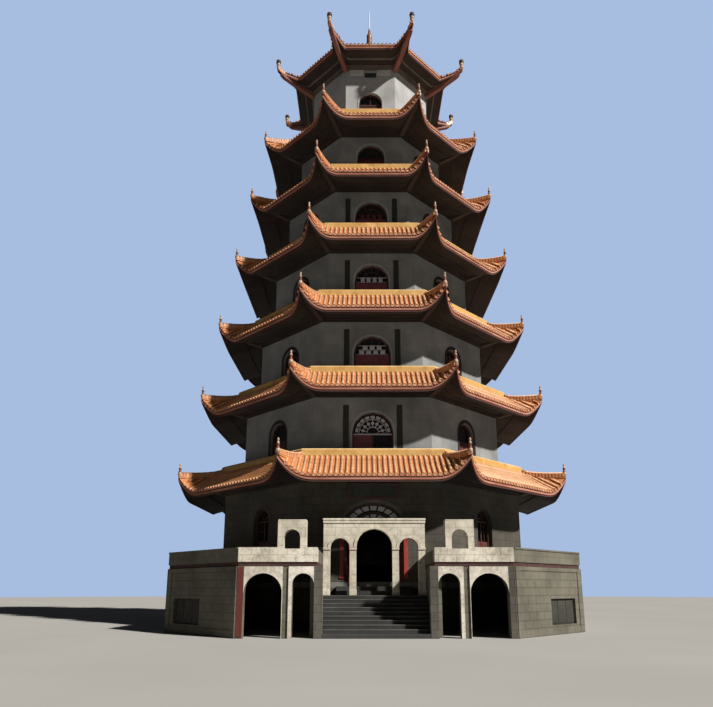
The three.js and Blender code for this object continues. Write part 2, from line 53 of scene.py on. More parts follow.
SIDES = 8
STOREYS = 7
TOP = STOREYS - 1
HALF_TURN = math.pi / SIDES
TAN = math.tan(HALF_TURN)
COS = math.cos(HALF_TURN)
STRAIGHT_FACES = range(0, SIDES, 2)
SLANTING_FACES = range(1, SIDES, 2)

WALL_APOTHEM = [6.95, 6.15, 5.55, 4.97, 4.4, 3.82, 3.25]
TOP_WALL_THICK = 0.3
EAVE_Z = [5.6, 9.5, 13.31, 17.13, 20.87, 24.54, 29.94]
EAVE_APOTHEM = [8.8, 7.93, 7.31, 6.7, 6.1, 5.5, 4.3]
SOFFIT_Z = [z + 0.44 for z in EAVE_Z[:TOP]] + [EAVE_Z[TOP] - 0.22]
FLOOR_OVER_SOFFIT = 0.28
RIDGE_TOP_Z = [7.27, 11.11, 15.05, 18.8, 22.49, 26.7]
RIDGE_APOTHEM = [7.2, 6.6, 5.98, 5.5, 4.9, 3.78]
RIDGE_HEIGHT = 0.3
RIDGE_THICK = 0.26
GALLERY_DEPTH = 0.75
EDGE_HEIGHT = 0.31
COLLAR = 0.26
APEX_Z = 33.2
CORNER_FLARE = [0.22, 0.32, 0.33, 0.33, 0.33, 0.35, 1.02]
CORNER_RISE = [0.82, 0.82, 0.85, 0.88, 0.9, 0.95, 0.5]
CORNER_POWER = 1.5
TOP_CORNER_POWER = 12
SWEEP_START = [0.6, 0.6, 0.6, 0.6, 0.6, 0.4, 0.76]
SWEEP_POWER = [3, 3, 3, 3, 3, 3, 1.65]
SLOPE_SAG = 0.09

# Windows of storeys 2 to 7, then the ground storey's half width, foot, spring and crown, and the doorway's
WINDOW_CROWN_Z = [9.11, 12.9, 16.8, 20.6, 24.36, 28.08]
WINDOW_HALF = [0.89, 0.845, 0.815, 0.8, 0.71, 0.63]
SLANTING_WINDOW_RATIO = 0.64
SLANTING_WINDOW_DROP = 0.06
SILL_OVER_RIDGE = 0.04
GROUND_WINDOW = (0.55, 3.1, 4.47, 5.02)
DOORWAY = (1.18, 4.18, 4.18, 5.01)

PODIUM_APOTHEM = 11.2
PODIUM_SIDE_X = 7.95
PARAPET_TOP_Z = 2.9
LANDING_Z = 1.34
STEP_COUNT = 10
TREAD = 0.3
RISER = LANDING_Z / STEP_COUNT


# Materials

class Graph:
    """Short forms for building one material's nodes."""

    def __init__(self, name):
        self.material = bpy.data.materials.new(name)
        self.material.use_nodes = True
        self.tree = self.material.node_tree
        self.shader = self.tree.nodes["Principled BSDF"]
        self.place = self.node("TexCoord").outputs["Object"]

    def feed(self, socket, value):
        """Joins another node's output to a socket, or sets the socket to a number, a vector or a colour."""
        if isinstance(value, bpy.types.NodeSocket):
            self.tree.links.new(value, socket)
        elif value is not None:
            socket.default_value = (*value, 1) if socket.type == "RGBA" else value

    def node(self, kind, inputs=None, **settings):
        """A shader node with its settings, and values or other nodes' outputs for its inputs."""
        node = self.tree.nodes.new("ShaderNode" + kind)
        for key, value in settings.items():
            setattr(node, key, value)
        for key, value in (inputs or {}).items():
            self.feed(node.inputs[key], value)
        return node

    def split(self, vector):
        """A vector's X, Y and Z, by name."""
        return self.node("SeparateXYZ", {"Vector": vector}).outputs

    def stretched(self, *scale):
        """Object coordinates on another scale along each axis."""
        return self.node("Mapping", {"Vector": self.place, "Scale": scale}).outputs["Vector"]

    def noise(self, scale, detail=3.0, rough=0.55, vector=None):
        return self.node("TexNoise", {"Scale": scale, "Detail": detail, "Roughness": rough,
                                      "Vector": vector or self.place}).outputs["Fac"]

    def cells(self, scale):
        """A random tone for each cell of a certain size."""
        cells = self.node("TexVoronoi", {"Scale": scale, "Vector": self.place})
        return self.node("SeparateColor", {"Color": cells.outputs["Color"]}).outputs[0]

    def bricks(self, width, height, joint):
        """Blocks along a wall: a random tone for each block, and the joints between them."""
        node = self.node("TexBrick", {
            "Vector": self.along_wall(), "Scale": 1.0, "Brick Width": width, "Row Height": height,
            "Mortar Size": joint, "Mortar Smooth": 0.3, "Color1": (1, 1, 1), "Color2": (0, 0, 0),
            "Mortar": (0, 0, 0)})
        return node.outputs["Color"], node.outputs["Fac"]

    def along_wall(self):
        """A vector that runs along an upright wall and up it, whichever way the wall faces."""
        normal = self.split(self.node("NewGeometry").outputs["True Normal"])
        back = self.math("MULTIPLY", normal["Y"], -1.0)
        level = self.node("CombineXYZ", {"X": back, "Y": normal["X"]}).outputs[0]
        across = self.node("VectorMath", {0: self.place, 1: level}, operation="DOT_PRODUCT")
        height = self.split(self.place)["Z"]
        return self.node("CombineXYZ", {"X": across.outputs["Value"], "Y": height}).outputs[0]

    def ramp(self, factor, *stops):
        """Colours at their positions, as (position, colour)."""
        node = self.node("ValToRGB", {"Fac": factor})
        band = node.color_ramp
        while len(band.elements) < len(stops):
            band.elements.new(0.5)
        for element, (at, colour) in zip(band.elements, stops):
            element.position = at
            element.color = (*colour, 1)
        return node.outputs["Color"]

    def level(self, factor, low, high, at_low=0.0, at_high=1.0):
        """Stretches the factor's range from low to high over another one."""
        return self.node("MapRange", {"Value": factor, "From Min": low, "From Max": high,
                                      "To Min": at_low, "To Max": at_high}).outputs["Result"]

    def uneven(self, scale, low, high, detail=3.0):
        """A roughness that varies in patches."""
        return self.level(self.noise(scale, detail), 0.3, 0.7, low, high)

    def math(self, kind, a, b=None):
        return self.node("Math", {0: a, 1: b}, operation=kind).outputs[0]

    def mix(self, factor, a, b):
        """Two colours mixed: their sockets are the node's inputs 6 and 7, and its output 2."""
        return self.node("Mix", {0: factor, 6: a, 7: b}, data_type="RGBA").outputs[2]

    def cover(self, colour, factor, amount, other):
        """Lays another colour over one where the factor is high, to a certain amount."""
        return self.mix(self.math("MULTIPLY", factor, amount), colour, other)

    def joint_height(self, joints):
        """Uneven block faces with the joints sunk between them."""
        return self.math("SUBTRACT", self.math("MULTIPLY", self.noise(7.0, 4.0), 0.5), joints)

    def bump(self, height, strength, distance, under=None):
        return self.node("Bump", {"Strength": strength, "Distance": distance, "Height": height,
                                  "Normal": under}).outputs["Normal"]

    def done(self, colour, rough, normal=None, coat=0.0):
        for key, value in (("Base Color", colour), ("Roughness", rough), ("Normal", normal),
                           ("Coat Weight", coat), ("Coat Roughness", 0.25)):
            self.feed(self.shader.inputs[key], value)
        return self.material


def shade(colour, part):
    """A darker tone of a colour."""
    return tuple(c * part for c in colour)


def cloudy(g, tones, scale=0.75, rough=0.6):
    """Three tones in soft clouds."""
    return g.ramp(g.noise(scale, 5.0, rough), *zip((0.3, 0.5, 0.72), tones))


def glaze(name, deep, middle, bright, grime=0.3):
    """Glazed clay: each tile its own tone, runs of grime down the slope, a soft gloss."""
    g = Graph(name)
    tones = g.ramp(g.cells(3.6), (0.0, deep), (0.3, middle), (0.7, middle), (1.0, bright))
    colour = g.mix(g.level(g.noise(0.9, 4.0), 0.35, 0.7, 0.35, 0.75), tones, middle)
    runs = g.level(g.noise(2.2, 5.0, 0.65, g.stretched(1, 1, 0.35)), 0.52, 0.74)
    colour = g.cover(colour, runs, grime, shade(deep, 0.34))
    fine = g.noise(46.0)
    colour = g.mix(g.level(fine, 0.55, 0.8, 0.0, 0.2), colour, bright)
    return g.done(colour, g.uneven(6.0, 0.42, 0.62), g.bump(fine, 0.25, 0.004), coat=0.06)


def masonry(name, deep, middle, bright, block=None, seam=0.55, grain=30.0, stain=0.4, relief=0.35,
            joint=0.014, variety=0.3, mottle=0.0):
    """Render, stone or concrete: clouds, grain, weather stains, and joints where it is laid in blocks."""
    g = Graph(name)
    colour = cloudy(g, (deep, middle, bright))
    fine = g.noise(grain, 4.0, 0.65)
    colour = g.mix(g.level(fine, 0.3, 0.75, 0.0, 0.35), colour, deep)
    normal = g.bump(fine, relief * 0.5, 0.006)
    if mottle:
        patches = g.level(g.noise(4.5, 6.0, 0.72), 0.46, 0.66, 0.0, mottle)
        colour = g.mix(patches, colour, shade(deep, 0.5))
    if block:
        tint, joints = g.bricks(*block, joint)
        colour = g.cover(colour, tint, variety, bright)
        worn = g.level(g.noise(3.5), 0.3, 0.65, seam, seam * 0.45)
        colour = g.cover(colour, joints, worn, shade(deep, 0.42))
        normal = g.bump(g.joint_height(joints), relief, 0.018, normal)
    runs = g.level(g.noise(1.5, 5.0, 0.7, g.stretched(1, 1, 0.12)), 0.5, 0.78)
    colour = g.cover(colour, runs, stain, shade(deep, 0.45))
    return g.done(colour, g.uneven(5.0, 0.8, 0.94), normal)


def painted(name, deep, middle, bright, rough=0.5, wear=0.35):
    """Painted timber: grain along the length, faded patches, rubbed spots."""
    g = Graph(name)
    grain = g.noise(3.0, 5.0, 0.6, g.stretched(24, 24, 1.6))
    colour = g.ramp(grain, (0.3, deep), (0.52, middle), (0.75, bright))
    faded = g.level(g.noise(1.4, 4.0, 0.6), 0.45, 0.7)
    colour = g.cover(colour, faded, wear, bright)
    return g.done(colour, g.uneven(9.0, rough - 0.1, rough + 0.15), g.bump(grain, 0.3, 0.003))


def window_glass():
    """Dark glass under a film of dust."""
    g = Graph("window_glass")
    dust = g.level(g.noise(2.4, 5.0, 0.6), 0.4, 0.75)
    colour = g.cover((0.012, 0.014, 0.017), dust, 0.5, (0.04, 0.042, 0.044))
    return g.done(colour, g.uneven(7.0, 0.08, 0.3, 2.0))


STONE_TONES = ((0.07, 0.066, 0.05), (0.115, 0.108, 0.082), (0.175, 0.162, 0.125))
CONCRETE_TONES = ((0.1, 0.096, 0.088), (0.155, 0.15, 0.138), (0.22, 0.213, 0.197))
PAINT_TONES = ((0.42, 0.385, 0.31), (0.66, 0.615, 0.515), (0.82, 0.78, 0.68))
# The parapet's paint ends at this distance from the middle and this far from the front, as (full, none)
PAINT_ACROSS = (4.625, 4.655)
PAINT_DEPTH = (-10.8, -10.6)


def parapet_blocks():
    """Weathered blocks, painted pale along the front."""
    g = Graph("parapet_blocks")
    where = g.split(g.place)
    near = g.level(g.math("ABSOLUTE", where["X"]), *PAINT_ACROSS, 1.0, 0.0)
    front = g.level(where["Y"], *PAINT_DEPTH, 1.0, 0.0)
    colour = g.cover(cloudy(g, STONE_TONES, 0.9, 0.62), near, front, cloudy(g, PAINT_TONES, 0.9, 0.62))
    patches = g.level(g.noise(4.5, 6.0, 0.72), 0.46, 0.68, 0.0, 0.6)
    colour = g.mix(patches, colour, (0.14, 0.125, 0.095))
    fine = g.noise(30.0, 4.0, 0.65)
    colour = g.mix(g.level(fine, 0.35, 0.75, 0.0, 0.3), colour, (0.09, 0.085, 0.065))
    _, joints = g.bricks(0.6, 0.3, 0.012)
    colour = g.cover(colour, joints, 0.35, (0.04, 0.036, 0.028))
    runs = g.level(g.noise(1.5, 5.0, 0.7, g.stretched(1, 1, 0.15)), 0.5, 0.78)
    colour = g.cover(colour, runs, 0.45, (0.05, 0.046, 0.034))
    return g.done(colour, 0.85, g.bump(g.joint_height(joints), 0.35, 0.018, g.bump(fine, 0.2, 0.006)))


def terrace_concrete_and_edge_shade():
    """Bare concrete on the level faces, and dark maroon painted shade on the slab's upright edges under the
    parapet.
    """
    g = Graph("terrace_concrete_and_edge_shade")
    # Dark maroon for the upright edges, which are set back under the parapet: painted shade
    paint = g.ramp(g.noise(2.6, 4.0), (0.3, (0.03, 0.012, 0.01)), (0.7, (0.075, 0.03, 0.024)))
    facing = g.split(g.node("NewGeometry").outputs["True Normal"])
    level = g.level(g.math("ABSOLUTE", facing["Z"]), 0.45, 0.55)
    colour = g.mix(level, paint, cloudy(g, CONCRETE_TONES, 0.8))
    return g.done(colour, 0.85, g.bump(g.noise(24.0, 4.0), 0.3, 0.006))


TILE = glaze("tile_glaze", (0.28, 0.085, 0.03), (0.5, 0.19, 0.068), (0.64, 0.28, 0.11))
# Paler glaze as a painted highlight: the sunlit crests of the round tiles, the hips' caps and every other hip
# joint
TILE_PAINTED_HIGHLIGHT = glaze("tile_painted_highlight_glaze", (0.4, 0.19, 0.085), (0.56, 0.31, 0.155), (0.72, 0.46, 0.27), grime=0.2)
TILE_END = glaze("tile_end_glaze", (0.3, 0.11, 0.055), (0.52, 0.25, 0.14), (0.74, 0.44, 0.27))
RIDGE = glaze("ridge_glaze", (0.34, 0.17, 0.045), (0.52, 0.3, 0.09), (0.7, 0.45, 0.19), grime=0.25)
RIDGE_EDGE = glaze("ridge_edge_glaze", (0.55, 0.36, 0.16), (0.74, 0.55, 0.31), (0.86, 0.74, 0.55), grime=0.2)
HIP_CAP = glaze("hip_cap_glaze", (0.13, 0.04, 0.02), (0.25, 0.09, 0.045), (0.42, 0.19, 0.1))
KNOB = glaze("knob_glaze", (0.07, 0.022, 0.014), (0.16, 0.045, 0.022), (0.28, 0.1, 0.05))
FIGURE = glaze("figure_glaze", (0.24, 0.155, 0.105), (0.4, 0.28, 0.2), (0.58, 0.44, 0.34), grime=0.35)
FASCIA = masonry("fascia_plaster", (0.24, 0.085, 0.055), (0.42, 0.17, 0.112), (0.56, 0.28, 0.2), stain=0.3)
EDGE_BOARD = painted("edge_board_paint", (0.025, 0.007, 0.005), (0.05, 0.013, 0.01), (0.085, 0.027, 0.02),
                     rough=0.75)
# Red-brown plaster made near-black: painted shade under the eaves
SOFFIT_PLASTER_AND_SHADE = masonry("soffit_plaster_and_painted_shade", (0.016, 0.01, 0.007), (0.028, 0.017, 0.012), (0.047, 0.03, 0.022))
MOULDING = masonry("moulding_plaster", (0.06, 0.05, 0.04), (0.11, 0.095, 0.078), (0.17, 0.15, 0.125),
                   stain=0.3)
BEAM = painted("corner_beam_paint", (0.09, 0.03, 0.02), (0.2, 0.065, 0.045), (0.34, 0.15, 0.11), rough=0.7)
# Near-black paint: painted shade on the beams under roofs 1 to 6, and the own dark colour of the top figures'
# heads
BEAM_SHADE_AND_DARK_HEAD = painted("beam_painted_shade_and_dark_head_paint", (0.022, 0.012, 0.009), (0.045, 0.024, 0.018), (0.08, 0.045, 0.034),
                    rough=0.7)
RENDER = masonry("cement_render", (0.14, 0.146, 0.148), (0.215, 0.222, 0.224), (0.32, 0.325, 0.326),
                 block=(2.4, 1.25), seam=0.28, grain=22.0, stain=0.32, relief=0.2, joint=0.01, variety=0.12)
# Pale render of the window surrounds and storey 7; on storey 7's walls it is partly painted light, for the
# fuller sky light high up
PALE_RENDER_AND_SKY_LIGHT = masonry("pale_render_and_painted_sky_light", (0.25, 0.253, 0.26), (0.34, 0.345, 0.35), (0.44, 0.445, 0.45),
                       stain=0.2)
PALE_PANEL = masonry("pale_panel", (0.36, 0.365, 0.34), (0.5, 0.505, 0.475), (0.6, 0.605, 0.575), stain=0.2)
# Dark stone blocks of the ground storey, darkened further as painted shade under the first roof
DARK_BLOCK_AND_SHADE = masonry("dark_block_and_painted_shade", (0.038, 0.034, 0.027), (0.062, 0.056, 0.045), (0.096, 0.087, 0.072),
                     block=(0.62, 0.31), seam=0.5, stain=0.35, relief=0.5)
PODIUM_BLOCK = masonry("podium_block", *STONE_TONES, block=(0.52, 0.27), stain=0.45, relief=0.6)
CREAM_BLOCK = masonry("cream_block", (0.38, 0.345, 0.28), (0.6, 0.555, 0.46), (0.78, 0.735, 0.63),
                      block=(0.6, 0.3), seam=0.35, mottle=0.55)
CREAM = masonry("cream_render", (0.44, 0.4, 0.32), (0.62, 0.57, 0.47), (0.78, 0.73, 0.62),
                relief=0.2, mottle=0.55)
CONCRETE = masonry("concrete", *CONCRETE_TONES)
FRONT_FRAME = masonry("frame_render", (0.42, 0.385, 0.32), (0.68, 0.635, 0.55), (0.84, 0.8, 0.72),
                      stain=0.6, relief=0.2, mottle=0.6)
PIER_STONE = masonry("pier_stone", (0.042, 0.038, 0.031), (0.072, 0.067, 0.056), (0.12, 0.11, 0.094),
                     block=(0.4, 0.27), seam=0.5, stain=0.5, relief=0.5)
NICHE_STONE = masonry("niche_stone", (0.02, 0.019, 0.015), (0.034, 0.033, 0.027), (0.056, 0.054, 0.045),
                      mottle=0.4)
# Paler stone strips on the treads' edges: a painted highlight
STEP_EDGE_HIGHLIGHT = masonry("step_edge_painted_highlight", (0.05, 0.051, 0.049), (0.085, 0.086, 0.083), (0.14, 0.14, 0.135),
                    stain=0.5)
# Grey stone of the stairs, made darker as painted shade
STEP_STONE_AND_SHADE = masonry("step_stone", (0.017, 0.018, 0.017), (0.03, 0.031, 0.03), (0.054, 0.055, 0.053),
               block=(1.2, RISER), seam=0.4, stain=0.35, joint=0.012)
RED_BOARD = painted("red_board_paint", (0.06, 0.009, 0.006), (0.1, 0.014, 0.009), (0.14, 0.026, 0.018),
                    rough=0.7, wear=0.1)
RED = painted("red_paint", (0.16, 0.012, 0.01), (0.3, 0.026, 0.02), (0.42, 0.07, 0.05))
DARK_RED = painted("dark_red_paint", (0.05, 0.012, 0.011), (0.1, 0.022, 0.02), (0.17, 0.05, 0.04))
JOINERY = painted("joinery_paint", (0.03, 0.014, 0.012), (0.06, 0.026, 0.022), (0.11, 0.055, 0.045))
DARK_FRAME = painted("dark_frame_paint", (0.008, 0.005, 0.006), (0.016, 0.01, 0.011), (0.034, 0.018, 0.018),
                     rough=0.7)
WHITE = painted("lattice_paint", (0.36, 0.36, 0.39), (0.5, 0.5, 0.54), (0.64, 0.64, 0.68), rough=0.6)
WINE = painted("wine_paint", (0.1, 0.022, 0.026), (0.19, 0.045, 0.052), (0.28, 0.09, 0.1))
BOARD = painted("dark_board_paint", (0.012, 0.014, 0.012), (0.022, 0.026, 0.022), (0.045, 0.05, 0.043),
                rough=0.6)
METAL = painted("rod_paint", (0.5, 0.5, 0.52), (0.68, 0.68, 0.7), (0.82, 0.82, 0.84), rough=0.4)
GLASS = window_glass()
PARAPET = parapet_blocks()
TERRACE = terrace_concrete_and_edge_shade()


# Mesh building

def turned(face, x, y, z):
    """A point given for the front face, moved to another face."""
    a = face * 2 * HALF_TURN
    return (x * math.cos(a) - y * math.sin(a), x * math.sin(a) + y * math.cos(a), z)


class Shape:
    """Gathers faces, each with the slot of a material, and makes one object of them."""

    def __init__(self):
        self.points, self.faces, self.inks, self.soft = [], [], [], []

    def rings(self, rings, ink=0, soft=False, closed=True, ends=False):
        """Skins between rings of equally many points. ink is a slot, or a list with one for each strip."""
        count = len(rings[0])
        strips = count if closed else count - 1
        inks = ink if isinstance(ink, list) else [ink] * strips
        base = len(self.points)
        for ring in rings:
            self.points.extend(ring)
        for a in range(base, base + (len(rings) - 1) * count, count):
            b = a + count
            for i in range(strips):
                j = (i + 1) % count
                self.faces.append([a + i, a + j, b + j, b + i])
                self.inks.append(inks[i])
                self.soft.append(soft)
        if ends:
            last = base + (len(rings) - 1) * count
            self.faces += [list(range(base + count - 1, base - 1, -1)), list(range(last, last + count))]
            self.inks += [inks[0]] * 2
            self.soft += [False] * 2

    def lathe(self, profile, at, segments, ink=0, out=None, soft=True):
        """Turns a profile of (radius, height) about an upright axis, or about the level direction out."""
        rings = []
        for radius, height in profile:
            ring = []
            for i in range(segments):
                a = 2 * math.pi * i / segments
                u, v = radius * math.cos(a), radius * math.sin(a)
                if out is None:
                    ring.append((at[0] + u, at[1] + v, at[2] + height))
                else:
                    ring.append((at[0] + out[0] * height - out[1] * u, at[1] + out[1] * height + out[0] * u,
                                 at[2] + v))
            rings.append(ring)
        self.rings(rings, ink, soft)

    def make(self, name, materials, nodes=(), body="root"):
        """One object of the gathered faces, in place of the part's nodes."""
        mesh = bpy.data.meshes.new(name)
        mesh.from_pydata(self.points, [], self.faces)
        mesh.polygons.foreach_set("material_index", self.inks)
        mesh.polygons.foreach_set("use_smooth", self.soft)
        for material in materials:
            mesh.materials.append(material)
        mesh.validate()
        mesh.update()
        piece = bpy.data.objects.new(name, mesh)
        bpy.context.scene.collection.objects.link(piece)
        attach(piece, body)
        if nodes:
            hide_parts(*nodes)


class Facade:
    """Draws on one face: x across it, z up, and depths y from its plane, negative outwards."""

    def __init__(self, shape, plane, face=0, x=0.0):
        self.shape, self.plane, self.face, self.x = shape, plane, face, x

    def at(self, x, y, z):
        return turned(self.face, self.x + x, self.plane + y, z)

    def box(self, x0, x1, y0, y1, z0, z1, ink=0, edge=0.0):
        """A block with its edges eased by a small chamfer."""
        e = edge
        rings = []
        for z, inset in ((z0, e), (z0 + e, 0), (z1 - e, 0), (z1, e)) if e else ((z0, 0), (z1, 0)):
            a, b, c, d = x0 + inset, x1 - inset, y0 + inset, y1 - inset
            if e:
                ring = [(a + e, c), (b - e, c), (b, c + e), (b, d - e),
                        (b - e, d), (a + e, d), (a, d - e), (a, c + e)]
            else:
                ring = [(a, c), (b, c), (b, d), (a, d)]
            rings.append([self.at(x, y, z) for x, y in ring])
        self.shape.rings(rings, ink, ends=True)

    def strip(self, outer, inner, y0, y1, ink=0):
        """A flat band between two lines of (x, z)."""
        rings = [[self.at(x, y, z) for (x, z), y in ((p, y0), (q, y0), (q, y1), (p, y1))]
                 for p, q in zip(outer, inner)]
        self.shape.rings(rings, ink, ends=True)

    def bar(self, p, q, width, y0, y1, ink=0):
        """A straight bar between two points of (x, z)."""
        along = Vector((q[0] - p[0], q[1] - p[1])).normalized()
        u, v = -along.y * width / 2, along.x * width / 2
        sides = [[(x + n * u, z + n * v) for x, z in (p, q)] for n in (1, -1)]
        self.strip(*sides, y0, y1, ink)

    def spoke(self, spring, angle, r0, r1, width, y0, y1, ink=0):
        """A bar along a radius of a round head."""
        p, q = [(r * math.cos(angle), spring + r * math.sin(angle)) for r in (r0, r1)]
        self.bar(p, q, width, y0, y1, ink)

    def arcs(self, spring, outer, inner, y0, y1, ink=0, steps=4, parts=1, gap=0.0, stretch=1.0):
        """A half ring between two radii, cut into parts with a gap at both ends of each."""
        for i in range(parts):
            a0 = math.pi - (i + gap) * math.pi / parts
            a1 = math.pi - (i + 1 - gap) * math.pi / parts
            angles = [a0 + (a1 - a0) * j / steps for j in range(steps + 1)]
            lines = [[(r * math.cos(a) * stretch, spring + r * math.sin(a)) for a in angles]
                     for r in (outer, inner)]
            self.strip(*lines, y0, y1, ink)

    def arch(self, opening, outer, inner, y0, y1, ink=0, steps=20, head=None):
        """A band round an opening of (half width, foot, spring, crown), between two margins around it."""
        half, foot, spring, crown = opening
        lines = []
        for side, over in ((outer, outer if head is None else head), (inner, inner)):
            width, rise = half + side, crown + over - spring
            turns = [(math.pi * (1 - i / steps), math.pi * i / steps) for i in range(steps + 1)]
            round_head = [(width * math.cos(a), spring + rise * math.sin(b)) for a, b in turns]
            lines.append([(-width, foot)] + round_head + [(width, foot)])
        self.strip(*lines, y0, y1, ink)


# Roofs

PITCH = 0.2125
TILE_LENGTH = 0.3
PAN_DROP = 0.045
RIB_RADIUS = 0.068
RIB_LAP = 0.006
# A slope's length over its length on plan, up a row of tiles and along a hip, and the shortest row on plan
SLOPE_STRETCH = 1.12
HIP_STRETCH = 1.15
SHORTEST_ROW = 0.124
HALF_ROUND = [(math.cos(math.pi * i / 6), math.sin(math.pi * i / 6)) for i in range(7)]
SOFFIT_INSET = 0.13
# Sections in a corner's sweep, and how they crowd towards the corner
SWEEP_STEPS = 11
SWEEP_CROWDING = 1.4

# Slots of the shell's materials
PAN, BAND, DRIP, FACE, BOARDS, CEILING, MOULD, CREST, BACK, WALK = range(10)
SHELL_MATERIALS = [TILE, RIDGE, TILE_END, FASCIA, EDGE_BOARD, SOFFIT_PLASTER_AND_SHADE, MOULDING, RIDGE_EDGE, RENDER, CONCRETE]
# Profiles of (out, up, slot): the eave's edge from its foot, and the ridge band's front from the band's foot
EAVE_PROFILE = [(-0.03, 0, BOARDS), (-0.03, 0.078, FACE), (-0.004, 0.084, FACE), (-0.004, 0.16, BOARDS),
                (-0.03, 0.168, BOARDS), (-0.03, 0.25, DRIP)]
RIDGE_PROFILE = [(0.012, -0.02, BAND), (0.012, 0.03, BAND), (0, 0.045, BAND), (-0.012, 0.215, BAND),
                 (-0.04, 0.262, CREST), (-0.095, RIDGE_HEIGHT, CREST)]

# Slots of the tile rows' materials, the strips round one tile, its round end and the drip tile's outline
RIB, RIB_END, RIB_PAINTED_HIGHLIGHT, LOBE = range(4)
# The strips over each tile's crest, more on one side, take the paler glaze: a painted highlight
RIB_STRIPS = [RIB, RIB, RIB_PAINTED_HIGHLIGHT, RIB_PAINTED_HIGHLIGHT, RIB_PAINTED_HIGHLIGHT, RIB]
TILE_DISC = [(0.0, 0.026), (0.03, 0.02), (0.05, 0.014), (0.06, 0.026), (0.076, 0.026), (0.076, 0)]
DRIP_TILE = [(-0.068, 0.02), (-0.06, -0.045), (-0.03, -0.075), (0, -0.1), (0.03, -0.075), (0.06, -0.045),
             (0.068, 0.02)]

# Slots of the hips' materials, the hips' sizes, the body's section as (half width, part of its height), and
# turned profiles of (radius, height)
HIP_PAINTED_HIGHLIGHT, HIP_KNOB, HIP_FIGURE, HIP_BEAM, HIP_BODY, HIP_LIGHT, HIP_DARK = range(7)
HIP_HALF = 0.095
HIP_END_BACK = 0.035
HIP_JOINT = 0.15
HIP_JOINT_HALF = HIP_JOINT * 0.26
CAP_RADII = (0.066, 0.076)
BEAM_HALF = 0.12
BEAM_DEPTH = 0.16
TOP_BEAM_DEPTH = 0.3
HIP_SECTION = [(HIP_HALF, 0.45), (0.075, 0.52), (0.075, 0.8), (0.085, 0.86), (0.085, 1.0)]
NOSE_OUT = 0.04
NOSE = [(0.0, 0.0), (0.05, -0.006), (0.08, -0.035), (0.09, -0.09), (0.085, -0.15), (0.09, -0.22),
        (0.08, -0.34)]
SEAT = [(0.0, -0.2), (0.06, -0.19), (0.088, -0.15), (0.098, -0.1), (0.094, -0.05), (0.078, -0.02)]
# A corner figure's body and head, slim on six roofs and blunt on the top one, each with its slot
CORNER_FIGURE = [([(0.08, -0.025), (0.08, 0.02), (0.05, 0.04), (0.046, 0.08), (0.062, 0.13), (0.066, 0.19)],
                  HIP_KNOB),
                 ([(0.066, 0.19), (0.052, 0.235), (0.03, 0.262), (0.028, 0.285), (0.044, 0.315),
                   (0.048, 0.35), (0.036, 0.385), (0.015, 0.41), (0.0, 0.42)], HIP_FIGURE)]
TOP_FIGURE = [([(0.085, -0.025), (0.108, 0.0), (0.112, 0.1), (0.098, 0.13), (0.1, 0.16)], HIP_FIGURE),
              ([(0.1, 0.16), (0.13, 0.175), (0.134, 0.25), (0.13, 0.345), (0.11, 0.365), (0.045, 0.375),
                (0.03, 0.405), (0.0, 0.42)], HIP_DARK)]

# The top roof's finial and its rod, heights over the apex
FINIAL = [(0.0, -0.48), (0.24, -0.48), (0.24, 0), (0.33, 0.001), (0.345, 0.03), (0.345, 0.15), (0.31, 0.18),
          (0.2, 0.24), (0.17, 0.32), (0.2, 0.42), (0.26, 0.52), (0.29, 0.62), (0.29, 0.72), (0.25, 0.86),
          (0.18, 0.98), (0.15, 1.06), (0.165, 1.14), (0.17, 1.3), (0.15, 1.34), (0.15, 1.38), (0.17, 1.42),
          (0.17, 1.62), (0.15, 1.66), (0.15, 1.7), (0.165, 1.74), (0.165, 1.94), (0.15, 2.02), (0.1, 2.08),
          (0.085, 2.2), (0.07, 2.4), (0.0, 2.46)]
ROD = [(0.03, 2.3), (0.03, 2.5), (0.045, 2.52), (0.045, 2.56), (0.03, 2.58), (0.028, 3.7), (0.02, 3.77),
       (0.0, 3.8)]


def sweep(k, s):
    """How far a corner's sweep has gone, 0 on the eave's straight part and 1 at the corner."""
    u = max(0.0, (abs(s) - SWEEP_START[k]) / (1 - SWEEP_START[k]))
    return u ** SWEEP_POWER[k]


def eave_of(k, s):
    """Apothem of the tile edge at part s of the way from a face's middle to its corner."""
    return EAVE_APOTHEM[k] + CORNER_FLARE[k] * sweep(k, s)


def eave_over(k, x):
    """Apothem of the tile edge at a distance x across a face."""
    low, high = EAVE_APOTHEM[k], EAVE_APOTHEM[k] + CORNER_FLARE[k]
    for _ in range(24):
        middle = (low + high) / 2
        if middle < eave_of(k, min(1.0, abs(x) / (middle * TAN))):
            low = middle
        else:
            high = middle
    return (low + high) / 2


def band_of(k):
    """Apothem where a roof's slope ends: at the ridge band, or at the finial."""
    return RIDGE_APOTHEM[k] if k < TOP else COLLAR


def tile_z(k, s, d):
    """Height of the tiles at apothem d and part s of the way from a face's middle to its corner."""
    lift = sweep(k, s)
    edge = EAVE_Z[k] + EDGE_HEIGHT
    band = band_of(k)
    t = max(0.0, (d - band) / (eave_of(k, s) - band))
    if k < TOP:
        top = RIDGE_TOP_Z[k] - RIDGE_HEIGHT
        sag = SLOPE_SAG * (1 - lift) * math.sin(math.pi * min(1.0, t))
        return top + (edge - top) * t - sag + CORNER_RISE[k] * lift * t ** CORNER_POWER
    climb = max(0.0, (EAVE_APOTHEM[k] - d) / (EAVE_APOTHEM[k] - COLLAR))
    return edge + (APEX_Z - edge) * climb + CORNER_RISE[k] * lift * t ** TOP_CORNER_POWER


def pan_z(k, x, d):
    """Height of the flat tiles between the round ones, at a distance x across a face."""
    return tile_z(k, min(1.0, abs(x) / (d * TAN)), d) - PAN_DROP


